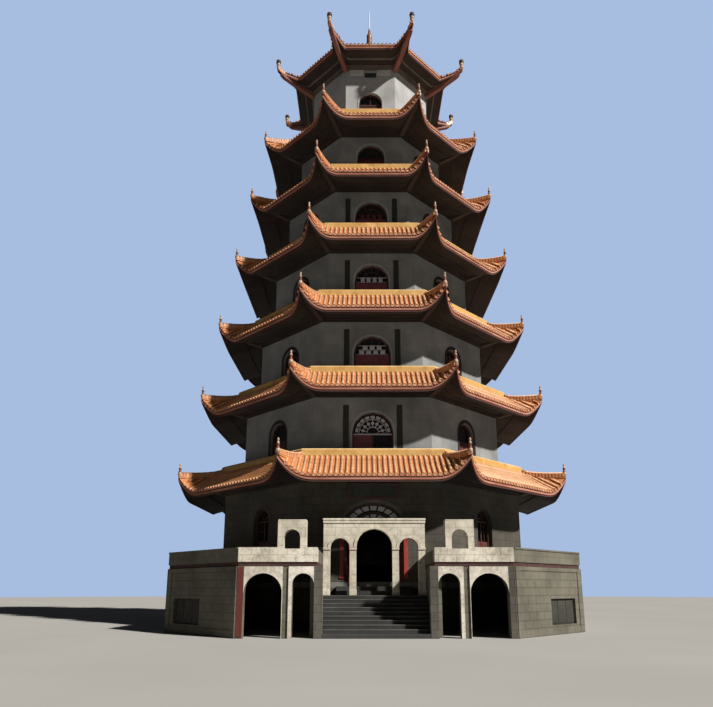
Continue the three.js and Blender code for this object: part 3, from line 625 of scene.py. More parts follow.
def shell_section(k, s):
    """One roof's section at part s of a face: a closed loop of (apothem, height, slot of the next strip)."""
    eave = eave_of(k, s)
    foot_z = EAVE_Z[k] + CORNER_RISE[k] * sweep(k, s)
    wall, soffit = WALL_APOTHEM[k], SOFFIT_Z[k]
    foot = wall + SOFFIT_INSET
    inner = eave - 0.1

    def under(d):
        return soffit + (foot_z + 0.02 - soffit) * (d - foot) / (inner - foot)

    mould = foot + (inner - foot) * 0.42
    mould_end = mould + 0.08
    # Under roofs 1 to 6 the moulding takes the near-black soffit, painted shade; under the top roof it stays
    # pale
    line = MOULD if k == TOP else CEILING
    section = []
    if k < TOP:
        behind_wall = WALL_APOTHEM[k + 1]
        floor = soffit + FLOOR_OVER_SOFFIT + 0.002
        section += [(behind_wall, floor, PAN), (wall, floor, PAN)]
    section += [
        (wall, soffit - 0.17, line), (foot - 0.03, soffit - 0.17, line), (foot - 0.03, soffit - 0.1, line),
        (foot, soffit - 0.08, line), (foot, soffit - 0.02, line), (foot + 0.04, under(foot + 0.04), CEILING),
        (mould, under(mould), line), (mould, under(mould) - 0.035, line),
        (mould_end, under(mould_end) - 0.035, line),
        (mould_end, under(mould_end), CEILING), (inner, foot_z + 0.02, BOARDS), (inner, foot_z, BOARDS)]
    section += [(eave + out, foot_z + up, ink) for out, up, ink in EAVE_PROFILE]
    band = band_of(k)
    rows = 9 if k < TOP else 16
    for r in range(rows + 1):
        d = eave + (band - eave) * r / rows
        section.append((d, tile_z(k, s, d) - PAN_DROP, PAN))
    if k < TOP:
        high = RIDGE_TOP_Z[k]
        behind, walk = band - RIDGE_THICK, high - GALLERY_DEPTH
        section[-1] = (*section[-1][:2], BAND)
        section += [(band + out, high - RIDGE_HEIGHT + up, ink) for out, up, ink in RIDGE_PROFILE]
        section += [(behind + 0.02, high, CREST), (behind, high - 0.02, BACK), (behind, walk, WALK),
                    (behind_wall, walk, PAN)]
    else:
        section += [(COLLAR, APEX_Z - 0.5, PAN), (wall * 0.6, soffit + 1.16, PAN),
                    (wall - TOP_WALL_THICK, soffit + 0.06, PAN), (wall, soffit + 0.06, PAN)]
    return section


def roof_shell(k):
    """Slopes, eaves, soffit and ridge band of one roof, closer rings towards its corners."""
    shape = Shape()
    start = SWEEP_START[k]
    parts = [start * 0.5, start]
    parts += [1 - (1 - start) * (1 - i / SWEEP_STEPS) ** SWEEP_CROWDING for i in range(1, SWEEP_STEPS + 1)]
    parts = [-s for s in reversed(parts)] + [0.0] + parts[:-1]
    sections = [(face, s, shell_section(k, s)) for face in range(SIDES) for s in parts]
    rings = [[turned(face, s * d * TAN, -d, z) for d, z, _ in section] for face, s, section in sections]
    shape.rings(rings + rings[:1], [ink for _, _, ink in sections[-1][2]])
    shape.make(f"roof_{k + 1}_shell", SHELL_MATERIALS, [f"roof_{k + 1}"])


def tile_row(shape, face, x, k, low, high):
    """One row of half-round tiles up the slope, each overlapping the one below it."""
    tiles = max(1, round((low - high) * SLOPE_STRETCH / TILE_LENGTH))
    stations = [low + (high - low) * i / tiles for i in range(tiles + 1)]
    heights = [pan_z(k, x, d) for d in stations]
    rings = []
    for i in range(tiles + 1):
        a, b = max(0, i - 1), min(tiles, i + 1)
        along = Vector((stations[a] - stations[b], heights[a] - heights[b])).normalized()
        sizes = ([RIB_RADIUS - RIB_LAP] if i else []) + ([RIB_RADIUS + RIB_LAP] if i < tiles else [])
        for size in sizes:
            lifts = [(size * u, size * v * 1.1) for u, v in HALF_ROUND]
            rings.append([turned(face, x + u, -(stations[i] - along.y * v), heights[i] + along.x * v)
                          for u, v in lifts])
    shape.rings(rings, RIB_STRIPS, True, closed=False)


def roof_tiles(k):
    """Rows of round tiles, with their round ends and the pointed drip tiles between them."""
    shape = Shape()
    tip = (EAVE_APOTHEM[k] + CORNER_FLARE[k]) * TAN
    count = int(tip / PITCH)
    for face in range(SIDES):
        turn = face * 2 * HALF_TURN
        out = (math.sin(turn), -math.cos(turn))
        for i in range(-count, count + 1):
            x = i * PITCH
            low = eave_over(k, x) + 0.004
            high = max(band_of(k) + 0.01, (abs(x) + HIP_HALF * 0.9) / TAN)
            if low - high > SHORTEST_ROW:
                tile_row(shape, face, x, k, low, high)
                end = turned(face, x, -low, pan_z(k, x, low) + 0.012)
                shape.lathe(TILE_DISC, end, 8, RIB_END, out, soft=False)
            if abs(x) + PITCH / 2 < tip - HIP_HALF and i < count:
                middle = x + PITCH / 2
                low = eave_over(k, middle)
                z = pan_z(k, middle, low)
                shape.rings([[turned(face, middle + u, -(low + 0.006 + d), z + v) for u, v in DRIP_TILE]
                             for d in (-0.012, 0.008)], LOBE, ends=True)
    shape.make(f"roof_{k + 1}_tiles", [TILE, TILE_END, TILE_PAINTED_HIGHLIGHT, HIP_CAP], [f"roof_{k + 1}"])


def hip_crest(t):
    """Height of a hip's body over the tiles, from the ridge to the corner."""
    return 0.1 + 0.05 * math.sin(math.pi * t)


def hip_ridge(shape, k, place, end):
    """A hip's body, the raised joints on its flanks and the round caps along its top."""
    band = band_of(k)
    steps = 18 if k < TOP else 24
    rings = []
    for i in range(steps + 1):
        t = (i / steps) ** 0.8
        d = band + (end - band) * t
        base, crest = tile_z(k, 1.0, d), hip_crest(t)
        half = [(HIP_HALF, -0.12)] + [(u, part * crest) for u, part in HIP_SECTION]
        rings.append([place(u, d, base + v) for u, v in half + [(-u, v) for u, v in reversed(half)]])
    shape.rings(rings, HIP_BODY, ends=True)

    length = (end - band) / COS
    joints = round(length / HIP_JOINT)
    reach = HIP_JOINT_HALF * COS
    outline = [(HIP_HALF - 0.03, -reach), (HIP_HALF + 0.012, -reach), (HIP_HALF + 0.012, reach),
               (HIP_HALF - 0.03, reach)]
    for i in range(joints):
        # Joints alternate between a pale glaze and the paler glaze of the painted highlight
        ink = HIP_LIGHT if i % 2 else HIP_PAINTED_HIGHLIGHT
        t = (i + 0.5) / joints
        d = band + (end - band) * t
        base = tile_z(k, 1.0, d)
        for flank in (-1, 1):
            shape.rings([[place(flank * u, d + along, z) for u, along in outline]
                         for z in (base - 0.05, base + hip_crest(t) * 0.94)], ink, ends=True)

    # The caps take the paler glaze: a painted highlight along the hip's top
    caps = max(6, round(length * HIP_STRETCH / TILE_LENGTH))
    rings = []
    for i in range(caps):
        for t, size in zip((i / caps, (i + 1) / caps), CAP_RADII):
            d = band + (end - band) * t
            base = tile_z(k, 1.0, d) + hip_crest(t) * 0.9
            rings.append([place(size * u, d, base + size * v) for u, v in HALF_ROUND])
    shape.rings(rings, HIP_PAINTED_HIGHLIGHT, True, closed=False, ends=True)


def corner_beam(shape, k, place, end):
    """The beam under a corner, from the wall to the hip's end."""
    wall = WALL_APOTHEM[k]
    foot = wall + SOFFIT_INSET
    deep = BEAM_DEPTH if k < TOP else TOP_BEAM_DEPTH
    rise = EAVE_Z[k] + CORNER_RISE[k] - SOFFIT_Z[k]
    steps = 12
    rings = []
    for i in range(steps + 1):
        t = i / steps
        d = wall + (end - 0.16 - wall) * t
        line = SOFFIT_Z[k] + rise * max(0.0, (d - foot) / (end - foot))
        drop = deep * (1 - 0.55 * t ** 2) * (0.5 if i == steps else 1.0)
        half = [(-BEAM_HALF, 0.05), (-BEAM_HALF, 0.03 - drop), (-0.09, -drop)]
        rings.append([place(u, d, line + v) for u, v in half + [(-u, v) for u, v in reversed(half)]])
    shape.rings(rings, HIP_BEAM, ends=True)


def roof_hips(k):
    """The eight hip ridges of a roof with their noses, standing figures and the beams below them."""
    shape = Shape()
    tip = EAVE_APOTHEM[k] + CORNER_FLARE[k]
    end = tip - HIP_END_BACK
    for corner in range(SIDES):
        angle = (corner * 2 + 1) * HALF_TURN
        out = (math.sin(angle), -math.cos(angle))

        def place(u, d, z):
            radius = d / COS
            return (out[0] * radius - out[1] * u, out[1] * radius + out[0] * u, z)

        hip_ridge(shape, k, place, end)
        tip_z = tile_z(k, 1.0, end) + 0.16
        shape.lathe(NOSE, place(0, tip + NOSE_OUT - 0.045, tip_z - 0.24), 12, HIP_KNOB, out)
        seat = place(0, tip + NOSE_OUT - 0.11 * COS, tip_z)
        shape.lathe(SEAT, seat, 12, HIP_FIGURE)
        for profile, ink in TOP_FIGURE if k == TOP else CORNER_FIGURE:
            shape.lathe(profile, seat, 10, ink)
        corner_beam(shape, k, place, end)
    # The beams under roofs 1 to 6 take the near-black paint as painted shade; the top roof's stay red
    materials = [TILE_PAINTED_HIGHLIGHT, KNOB, FIGURE, BEAM if k == TOP else BEAM_SHADE_AND_DARK_HEAD, TILE, TILE_END, BEAM_SHADE_AND_DARK_HEAD]
    shape.make(f"roof_{k + 1}_hips", materials, [f"roof_{k + 1}"])


def spire():
    """Moulded finial on the top roof, in glazed clay, with a thin rod."""
    shape = Shape()
    shape.lathe(FINIAL, (0, 0, APEX_Z), 28, 0)
    shape.lathe(ROD, (0, 0, APEX_Z), 12, 1)
    shape.make("spire_and_rod", [HIP_CAP, METAL], ["roof_spire"])


for k in range(STOREYS):
    roof_shell(k)
    roof_tiles(k)
    roof_hips(k)
spire()


# Windows

# Joinery: slots of its materials, gap to the wall, width of the frame, and depth behind the wall's face
WOOD, PALE, WINE_RED, DARK = range(4)
FIT = 0.004
FRAME_WIDTH = 0.06
WINDOW_INSET = 0.2
# Each storey's top of the red panel, top of the lattice over it, and the lattice's rows, 0 for a plain bar
PANELS = [None, (8.12, 8.17, 0), (12.06, 12.5, 2), (15.96, 16.22, 1), (19.74, 19.98, 1), (23.56, 23.66, 0),
          (27.36, 27.44, 0)]


def opening_of(k, face):
    """Half width, foot, spring and crown of an upper window, which is smaller on a slanting face."""
    slanting = face in SLANTING_FACES
    half = WINDOW_HALF[k - 1] * (SLANTING_WINDOW_RATIO if slanting else 1)
    crown = WINDOW_CROWN_Z[k - 1] - (SLANTING_WINDOW_DROP if slanting else 0)
    return half, RIDGE_TOP_Z[k - 1] + SILL_OVER_RIDGE, crown - half, crown


def bays(x0, x1, count, gap):
    """Equal stretches from x0 to x1, each with a gap at both ends."""
    return [(x0 + (x1 - x0) * i / count + gap, x0 + (x1 - x0) * (i + 1) / count - gap) for i in range(count)]


def half_width(half, spring, crown, z):
    """Half width of a round-headed opening at a height."""
    part = min(1.0, max(0.0, (z - spring) / (crown - spring)))
    return half * math.sqrt(1 - part * part)


def window(w, k):
    """Frame, sill, panel, lattice and glazing bars of one upper window."""
    straight = w.face in STRAIGHT_FACES
    half, sill, spring, crown = opening_of(k, w.face)
    opening = (half, sill + FIT, spring, crown)
    w.arch(opening, -FIT, -FRAME_WIDTH, -0.04, 0.05, WOOD, 16)
    w.arch(opening, -FIT, -0.025, -0.07, -0.04, DARK, 16)
    inner, top = half - FRAME_WIDTH, crown - FRAME_WIDTH
    low, high, rows = PANELS[k]
    w.box(-inner, inner, -0.03, 0.045, sill + FIT, sill + 0.07, DARK, 0.006)
    if k == 1 and straight:
        w.box(-inner, -0.03, -0.02, 0.03, sill + 0.07, low, WINE_RED, 0.004)
        for x0, x1 in ((-inner + 0.08, -0.47), (-0.4, -0.11)):
            w.box(x0, x1, -0.03, -0.02, sill + 0.15, low - 0.08, WINE_RED, 0.004)
        w.box(-0.03, 0.03, -0.03, 0.04, sill + 0.07, low, WOOD, 0.004)
        w.box(-inner, inner, -0.035, 0.04, low, low + 0.06, PALE, 0.006)
        fan(w, inner, spring, top, low + 0.06)
        return
    # straight faces: wine red panels and three bars in the head on storeys 3 to 5, pale lattice on 3 and 4
    barred = straight and k < 5
    panel = WINE_RED if barred else DARK
    w.box(-inner, inner, -0.015, 0.03, sill + 0.07, low - 0.03, panel, 0.004)
    for x0, x1 in bays(-inner, inner, 4 if straight else 2, 0.04):
        w.box(x0, x1, -0.028, -0.015, sill + 0.11, low - 0.08, panel, 0.004)
    w.box(-inner, inner, -0.03, 0.04, low - 0.03, low, WOOD, 0.004)
    if rows:
        lattice(w, inner, spring, top, PANELS[k], PALE if straight and k < 4 else DARK)
    else:
        wide_at = half_width(inner, spring, top, high)
        w.bar((-wide_at, high), (wide_at, high), 0.045, -0.02, 0.03, DARK)
    above = max(high, spring) - spring
    clear = top - max(high, spring)
    head = top - spring
    for degrees in (60, 90, 120) if barred else (90,):
        a = math.radians(degrees)
        start = above / max(0.2, math.sin(a))
        if head * 0.99 - start > 0.1:
            w.spoke(spring, a, start, head * 0.99, 0.028, -0.015, 0.02)
    if barred and clear > 0.35:
        r = above + clear * 0.55
        cut = math.asin(min(0.98, above / r)) / math.pi
        w.arcs(spring, r + 0.014, r - 0.014, -0.015, 0.02, steps=12, gap=cut)


def lattice(w, inner, spring, top, panel, ink):
    """Rows of small blocks between level bars, every other row moved on by half a block."""
    low, high, rows = panel
    wide_at = half_width(inner, spring, top, high)
    cell = (high - low) / rows
    columns = max(3, round(2 * wide_at / 0.29))
    for r in range(rows):
        z0 = low + cell * r
        reach = half_width(inner, spring, top, z0 + cell) - 0.01
        for c in range(-columns, columns):
            x0 = (c + (0.5 if r % 2 else 0.0)) * 2 * wide_at / columns + 0.05
            x1 = x0 + 2 * wide_at / columns - 0.1
            if x0 > -reach and x1 < reach:
                w.box(x0, x1, -0.02, 0.01, z0 + 0.035, z0 + cell - 0.025, ink, 0.004)
        w.bar((-reach, z0 + 0.012), (reach, z0 + 0.012), 0.022, -0.018, 0.012, ink)
    w.bar((-wide_at, high), (wide_at, high), 0.024, -0.018, 0.012, ink)


def fan(w, inner, spring, top, base):
    """White tracery in a round head: a broken outer arch, a row of beads and spokes over a base bar."""
    radius = top - spring
    thin = (0.03, -0.018, 0.01, PALE)
    w.arcs(spring, radius * 0.92, radius * 0.78, -0.025, 0.015, PALE, 3, 9, 0.12)
    w.arcs(spring, radius * 0.74, radius * 0.705, -0.02, 0.015, PALE, 18)
    beads, bead, middle = 7, 0.075, radius * 0.52
    for i in range(beads):
        a = math.pi * (i + 0.5) / beads
        x, z = middle * math.cos(a), spring + middle * math.sin(a)
        corners = [math.pi * j / 4 for j in range(8)]
        w.shape.rings([[w.at(x + bead * math.cos(b), y, z + bead * math.sin(b)) for b in corners]
                       for y in (-0.025, 0.01)], PALE, ends=True)
        w.spoke(spring, a, middle * 0.62, middle, *thin)
        w.spoke(spring, a, middle, radius * 0.72, *thin)
    w.arcs(spring, radius * 0.33, radius * 0.29, -0.02, 0.015, PALE, 14)
    for part in (-0.6, -0.2, 0.2, 0.6):
        w.bar((part * inner, base), (part * inner, spring), *thin)


def ground_windows():
    """Casements and fanlights of the ground storey, on all faces but the front."""
    shape = Shape()
    half, sill, spring, crown = GROUND_WINDOW
    inner, head = half - 0.07, crown - 0.07 - spring
    thin = (-0.012, 0.02, 0)
    for face in range(1, SIDES):
        w = Facade(shape, -WALL_APOTHEM[0] + 0.24, face)
        w.arch((half, sill + FIT, spring, crown), -FIT, -0.07, -0.05, 0.06, 0, 16)
        w.box(-inner, inner, -0.04, 0.05, sill + FIT, sill + 0.09, 0, 0.006)
        w.box(-inner, inner, -0.035, 0.045, spring - 0.04, spring + 0.03, 0, 0.006)
        w.box(-0.035, 0.035, -0.035, 0.045, sill + 0.09, spring - 0.04, 0, 0.005)
        for side in (-1, 1):
            x0, x1 = sorted((side * 0.04, side * (inner - 0.005)))
            w.box(x0, x1, -0.01, 0.03, sill + 0.09, sill + 0.5, 1, 0.004)
            w.box(x0 + 0.06, x1 - 0.06, -0.022, -0.01, sill + 0.15, sill + 0.44, 1, 0.004)
            w.bar((side * 0.25, sill + 0.5), (side * 0.25, spring - 0.04), 0.024, *thin)
            w.bar((x0, sill + 0.94), (x1, sill + 0.94), 0.024, *thin)
        for degrees in (50, 90, 130):
            w.spoke(spring, math.radians(degrees), 0.14, head, 0.026, *thin)
        w.arcs(spring, 0.15, 0.12, *thin, 8)
    shape.make("storey_1_joinery", [JOINERY, DARK_RED])


def window_surrounds():
    """Raised lines round the upper windows: narrow and pale on the straight faces, broad and dark beside."""
    shape = Shape()
    for k in range(1, STOREYS):
        for faces, side, head, proud, ink in ((STRAIGHT_FACES, 0.075, 0.075, 0.022, 0),
                                              (SLANTING_FACES, 0.11, 0.16, 0.024, 1)):
            for face in faces:
                half, sill, spring, crown = opening_of(k, face)
                w = Facade(shape, -WALL_APOTHEM[k], face)
                w.arch((half, sill - 0.03, spring, crown), side, 0.003, -proud, 0.01, ink, head=head)
    shape.make("window_surrounds", [PALE_RENDER_AND_SKY_LIGHT, DARK_FRAME])


def slot_boards():
    """Dark upright boards in the recesses beside the windows of storeys 2 to 5."""
    shape = Shape()
    for k in range(1, 5):
        low, high = RIDGE_TOP_Z[k - 1] + 0.132, SOFFIT_Z[k] - 0.502
        for face in STRAIGHT_FACES:
            for side in (-1, 1):
                w = Facade(shape, -WALL_APOTHEM[k], face, side * 1.17)
                for x in (-0.084, 0, 0.084):
                    w.box(x - 0.039, x + 0.039, 0.016, 0.043, low + 0.003, high - 0.003, 0, 0.006)
                w.box(-0.127, 0.127, 0.03, 0.044, low, high)
    shape.make("slot_boards", [BOARD])


def top_panels():
    """Light panels and a dark vent between them, high on the straight faces of storey 7."""
    shape = Shape()
    for face in STRAIGHT_FACES:
        w = Facade(shape, -WALL_APOTHEM[TOP], face)
        for x0, x1 in ((-1.12, -0.37), (0.37, 1.12)):
            w.box(x0, x1, -0.03, 0.01, 29.23, 29.69, 0, 0.01)
        w.box(-0.31, 0.31, -0.02, 0.01, 29.08, 29.37, 1, 0.01)
        for i in range(4):
            z = 29.11 + i * 0.06
            w.box(-0.28, 0.28, -0.034, -0.02, z, z + 0.03, 1)
    shape.make("top_storey_panels", [PALE_PANEL, BOARD])


for k in range(1, STOREYS):
    joinery = Shape()
    for face in range(SIDES):
        window(Facade(joinery, -WALL_APOTHEM[k] + WINDOW_INSET, face), k)
    joinery.make(f"storey_{k + 1}_joinery", [JOINERY, WHITE, WINE, DARK_RED])
ground_windows()
window_surrounds()
slot_boards()
top_panels()


# Entrance

def fanlight_tracery():
    """Rings of white and dark bars in the flattened head over the door."""
    shape = Shape()
    w = Facade(shape, -WALL_APOTHEM[0] + 0.28)
    half, _, spring, crown = DOORWAY
    radius = crown - spring
    stretch = half / radius
    w.arcs(spring + 0.001, radius - FIT, radius - 0.055, -0.05, 0.0, 1, 28, stretch=stretch)
    for outer, inner, proud, ink, steps, parts, gap in ((0.9, 0.68, 0.04, 0, 4, 9, 0.1),
                                                        (0.6, 0.54, 0.04, 1, 24, 1, 0.0),
                                                        (0.48, 0.24, 0.035, 0, 4, 5, 0.12)):
        w.arcs(spring, radius * outer, radius * inner, -proud, 0.0, ink, steps, parts, gap, stretch)
    shape.make("fanlight_tracery", [WHITE, JOINERY])


def door_surround():
    """Raised stone line round the doorway's head, and bare red boards beside the doorway."""
    shape = Shape()
    w = Facade(shape, -WALL_APOTHEM[0])
    w.arch(DOORWAY, 0.16, FIT, -0.035, 0.01, 0, 28, 0.15)
    half = DOORWAY[0]
    for side in (-1, 1):
        x0, x1 = sorted((side * (half + 0.03), side * (half + 0.2)))
        w.box(x0, x1, -0.03, 0.005, 1.99, 4.05, 1, 0.008)
        for z0, z1 in ((4.0, 4.05), (1.99, 2.04)):
            w.box(x0, x1, -0.045, -0.028, z0, z1, 1, 0.004)
    shape.make("door_surround", [MOULDING, RED])


def name_board_rim():
    """The bare name board's rim, its top rail dark and the rest red."""
    shape = Shape()
    w = Facade(shape, -WALL_APOTHEM[0] - 0.09)
    half, low, high = 1.03, 5.2, 5.8
    w.box(-half - 0.03, half + 0.03, -0.035, 0.04, high - 0.05, high + 0.03, 0, 0.01)
    w.box(-half - 0.03, half + 0.03, -0.03, 0.04, low - 0.02, low + 0.035, 1, 0.01)
    for side in (-1, 1):
        w.box(side * half - 0.03, side * half + 0.03, -0.03, 0.04, low + 0.035, high - 0.05, 1, 0.01)
    shape.make("name_board_rim", [JOINERY, DARK_RED])


fanlight_tracery()
door_surround()
name_board_rim()


# Podium

# Each arch in the podium's front: its middle, half width and crown, and the frame round it
ARCHES = [(3.78, 0.64, 2.1), (2.44, 0.365, 2.1)]
FRAMES = [(3.123, 4.42), (2.079, 2.925)]
GROOVE = (2.929, 3.119)
CHEEK_X = 1.79
STAIRS_HALF = 1.975
FRONT_END_X = PODIUM_APOTHEM * TAN - 0.002
# Planes of the front's stone, of its frames and piers, and of its back
STONE_Y, PROUD_Y, BACK_Y = -11.172, -11.2, -10.85
# Middle, half width, foot, head and depth of the podium's niches
NICHE = (1.45, 0.9, 0.33, 1.24)
NICHE_DEPTH = 0.12
# The arched blocks on the parapet: their middle, half width with a small gap, and opening
BLOCK_X = 2.84
BLOCK_HALF = 0.488
BLOCK_OPENING = (0.28, 2.91, 3.29, 3.57)
BLOCK_TOP_Z = 3.84
# The gate's front plane, its arches as (middle, half width, crown), and its piers
GATE_Y = -8.19
GATE_ARCHES = [(0, 0.69, 3.84), (-1.32, 0.375, 3.49), (1.32, 0.375, 3.49)]
GATE_PIERS = [(-1.955, -1.695), (-0.945, -0.69), (0.69, 0.945), (1.695, 1.955)]


def pierced(shape, side, x0, x1, y0, y1, top, ink, fit=0.0):
    """Part of the podium's front from x0 to x1, with the arches' openings cut out of it."""
    stops = {x0, x1}
    for centre, half, _ in ARCHES:
        stops |= {centre - half * math.cos(math.pi * i / 24) for i in range(25)}
    stops = sorted(x for x in stops if x0 <= x <= x1)
    for a, b in zip(stops, stops[1:]):
        feet = [0.0, 0.0]
        for centre, half, crown in ARCHES:
            if abs((a + b) / 2 - centre) < half:
                feet = [crown - half - fit + math.sqrt(max(0.0, half * half - (x - centre) ** 2))
                        for x in (a, b)]
        ends = [[(side * x, y0, z), (side * x, y1, z), (side * x, y1, top), (side * x, y0, top)]
                for x, z in zip((a, b), feet)]
        shape.rings(ends[::-side], ink, ends=True)


def arched_front(side):
    """Half of the podium's front: pale frames round its arches, stone piers and the groove between them."""
    shape = Shape()
    name = "podium_front_left" if side < 0 else "podium_front_right"
    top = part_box(name)[1].z
    walls = ((CHEEK_X, GROOVE[0], STONE_Y), (*GROOVE, STONE_Y + 0.03), (GROOVE[1], FRONT_END_X, STONE_Y))
    for x0, x1, y in walls:
        pierced(shape, side, x0, x1, y, BACK_Y, top, 0)
    for x0, x1 in FRAMES:
        pierced(shape, side, x0, x1, PROUD_Y, STONE_Y + 0.008, top - 0.012, 1, FIT)
    # at the left end the red board stands where the right half has its outer pier
    piers = [(CHEEK_X, FRAMES[1][0] - 0.006), (FRAMES[0][1] + 0.005, FRONT_END_X)]
    for x0, x1 in piers if side > 0 else piers[:1]:
        a, b = sorted((side * x0, side * x1))
        Facade(shape, 0.0).box(a, b, PROUD_Y, STONE_Y + 0.01, 0.0, top - 0.012, 2, 0.006)
    shape.make(f"{name}_stone", [PODIUM_BLOCK, FRONT_FRAME, PIER_STONE], [name])


def podium_trim():
    """Corner pilasters, foot course and coping round the podium."""
    shape = Shape()
    front, side = PODIUM_APOTHEM, PODIUM_SIDE_X
    cx, cy = front * TAN, front * math.sqrt(2) - side
    half_plan = [(-cx, -front), (cx, -front), (side, -cy), (side, cy)]
    plan = half_plan + [(-x, -y) for x, y in half_plan]
    for i in range(SIDES):
        p, q = Vector(plan[i]), Vector(plan[(i + 1) % SIDES])
        along = (q - p).normalized()
        out = Vector((along.y, -along.x))
        proud = 0.0 if i in (0, 4) else 0.028
        length = (q - p).length

        def slab(a, b, z0, z1, proud, deep, ink):
            lower = p + along * a
            upper = p + along * b
            ring = [lower + out * proud, upper + out * proud, upper - out * deep, lower - out * deep]
            shape.rings([[(v.x, v.y, z) for v in ring] for z in (z0, z1)], ink, ends=True)

        if proud:
            for a, b in ((0.03, 0.33), (length - 0.33, length - 0.03)):
                slab(a, b, 0.0, 2.32, proud, 0.01, 0)
            slab(0.32, length - 0.32, 0.0, 0.24, proud * 0.8, 0.01, 0)
            slab(0.32, length - 0.32, 2.2, 2.32, proud * 0.7, 0.01, 0)
        if i == 0:
            middle, near, far = length / 2, BLOCK_X - BLOCK_HALF, BLOCK_X + BLOCK_HALF
            spans = [(0.0, middle - far), (middle - near, middle - STAIRS_HALF),
                     (middle + STAIRS_HALF, middle + near), (middle + far, length)]
        else:
            spans = [(0.03, length - 0.03) if proud else (0.0, length)]
        for a, b in spans:
            slab(a, b, PARAPET_TOP_Z, PARAPET_TOP_Z + 0.055, proud, 0.3, 1)
    shape.make("podium_trim", [PODIUM_BLOCK, PARAPET])


def niche_panels():
    """Dark slabs in the shallow niches of the podium's slanting faces."""
    shape = Shape()
    middle, half, low, high = NICHE
    for face, side in ((1, -1), (3, 1), (5, -1), (7, 1)):
        w = Facade(shape, -PODIUM_APOTHEM + NICHE_DEPTH, face)
        x0, x1 = side * middle - half + FIT, side * middle + half - FIT
        w.box(x0, x1, -0.016, -0.003, low + FIT, high - FIT, 0, 0.004)
        for a, b in bays(x0, x1, 3, 0.03):
            w.box(a, b, -0.03, -0.015, low + 0.05, high - 0.05, 0, 0.006)
    shape.make("niche_panels", [NICHE_STONE])


def red_board():
    """Bare red board at the left end of the front, between the corner and the large arch."""
    shape = Shape()
    Facade(shape, PROUD_Y).box(-4.63, -4.426, 0.0, 0.035, 0.05, 2.3, 0, 0.006)
    shape.make("red_board", [RED_BOARD])


def parapet_arch_trim():
    """Line round the opening and cap of each arched block on the parapet."""
    shape = Shape()
    for side in (-1, 1):
        w = Facade(shape, -PODIUM_APOTHEM, x=side * BLOCK_X)
        w.arch(BLOCK_OPENING, 0.07, -0.002, 0.002, 0.02)
        w.box(-0.485, 0.485, 0.001, 0.42, BLOCK_TOP_Z, BLOCK_TOP_Z + 0.05, 0, 0.01)
    shape.make("parapet_arch_trim", [CREAM])


def step_edges():
    """Paler strips along the treads' front edges of the front stairs, a painted highlight, plain on the
    lowest.
    """
    shape = Shape()
    for i in range(STEP_COUNT):
        w = Facade(shape, -PODIUM_APOTHEM + i * TREAD)
        z = (i + 1) * RISER
        half = CHEEK_X - 0.012 if i < 2 else 1.95
        out, drop, edge = (-0.012, 0.035, 0.004) if i else (0.001, 0.0, 0.0)
        w.box(-half, half, out, 0.05, z - drop, z + 0.006, 0, edge)
    shape.make("stair_edges", [STEP_EDGE_HIGHLIGHT])


def gate_trim():
    """Cornice, arch lines and piers' mouldings on the three-arched gate."""
    shape = Shape()
    for x, half, crown in GATE_ARCHES:
        spring = crown - half
        w = Facade(shape, GATE_Y, x=x)
        w.arch((half, spring, spring, crown), 0.1, 0.002, -0.03, 0.01, steps=24, head=0.09)
    w = Facade(shape, GATE_Y)
    w.box(-1.99, 1.99, -0.05, 0.39, 4.17, 4.25, 0, 0.015)
    w.box(-1.975, 1.975, -0.03, 0.01, 4.06, 4.17, 0, 0.01)
    for x0, x1 in GATE_PIERS:
        for z0, z1 in ((3.04, 3.13), (LANDING_Z + 0.002, LANDING_Z + 0.2)):
            w.box(x0 - 0.015, x1 + 0.015, -0.03, 0.01, z0, z1, 0, 0.01)
    shape.make("gate_trim", [CREAM])


for side in (-1, 1):
    arched_front(side)
podium_trim()
niche_panels()
red_board()
parapet_arch_trim()
step_edges()
gate_trim()


# Door leaves

LEAF_OPEN = 80
LEAF_HINGE = (1.12, -6.5)
LEAF_SKIN = 0.03
LEAF_PANELS = [(2.0, 2.85), (2.97, 3.2), (3.32, 4.05)]


def door_panels(side):
    """Mouldings on both faces of a door leaf, in the leaf's place at rest."""
    name = "left" if side < 0 else "right"
    shape = Shape()
    angle = math.radians(-side * LEAF_OPEN)
    cos, sin = math.cos(angle), math.sin(angle)
    x, y = side * LEAF_HINGE[0], LEAF_HINGE[1]
    for skin in (-1, 1):
        for z0, z1 in LEAF_PANELS:
            for inset, proud, ink in ((0.0, 0.006, 1), (0.05, 0.003, 0)):
                u0, u1 = sorted((-side * (0.12 + inset), -side * (1.0 - inset)))
                ring = [(u0, z0 + inset), (u1, z0 + inset), (u1, z1 - inset), (u0, z1 - inset)]
                depths = (skin * (LEAF_SKIN - 0.001), skin * (LEAF_SKIN + proud))
                shape.rings([[(x + u * cos - v * sin, y + u * sin + v * cos, z) for u, z in ring]
                             for v in depths], ink, ends=True)
    shape.make(f"leaf_panels_{name}", [RED, DARK_RED], body=f"{name}_leaf")


for side in (-1, 1):
    door_panels(side)


# Materials of the nodes that keep their CAD shape, by the start or the end of their names

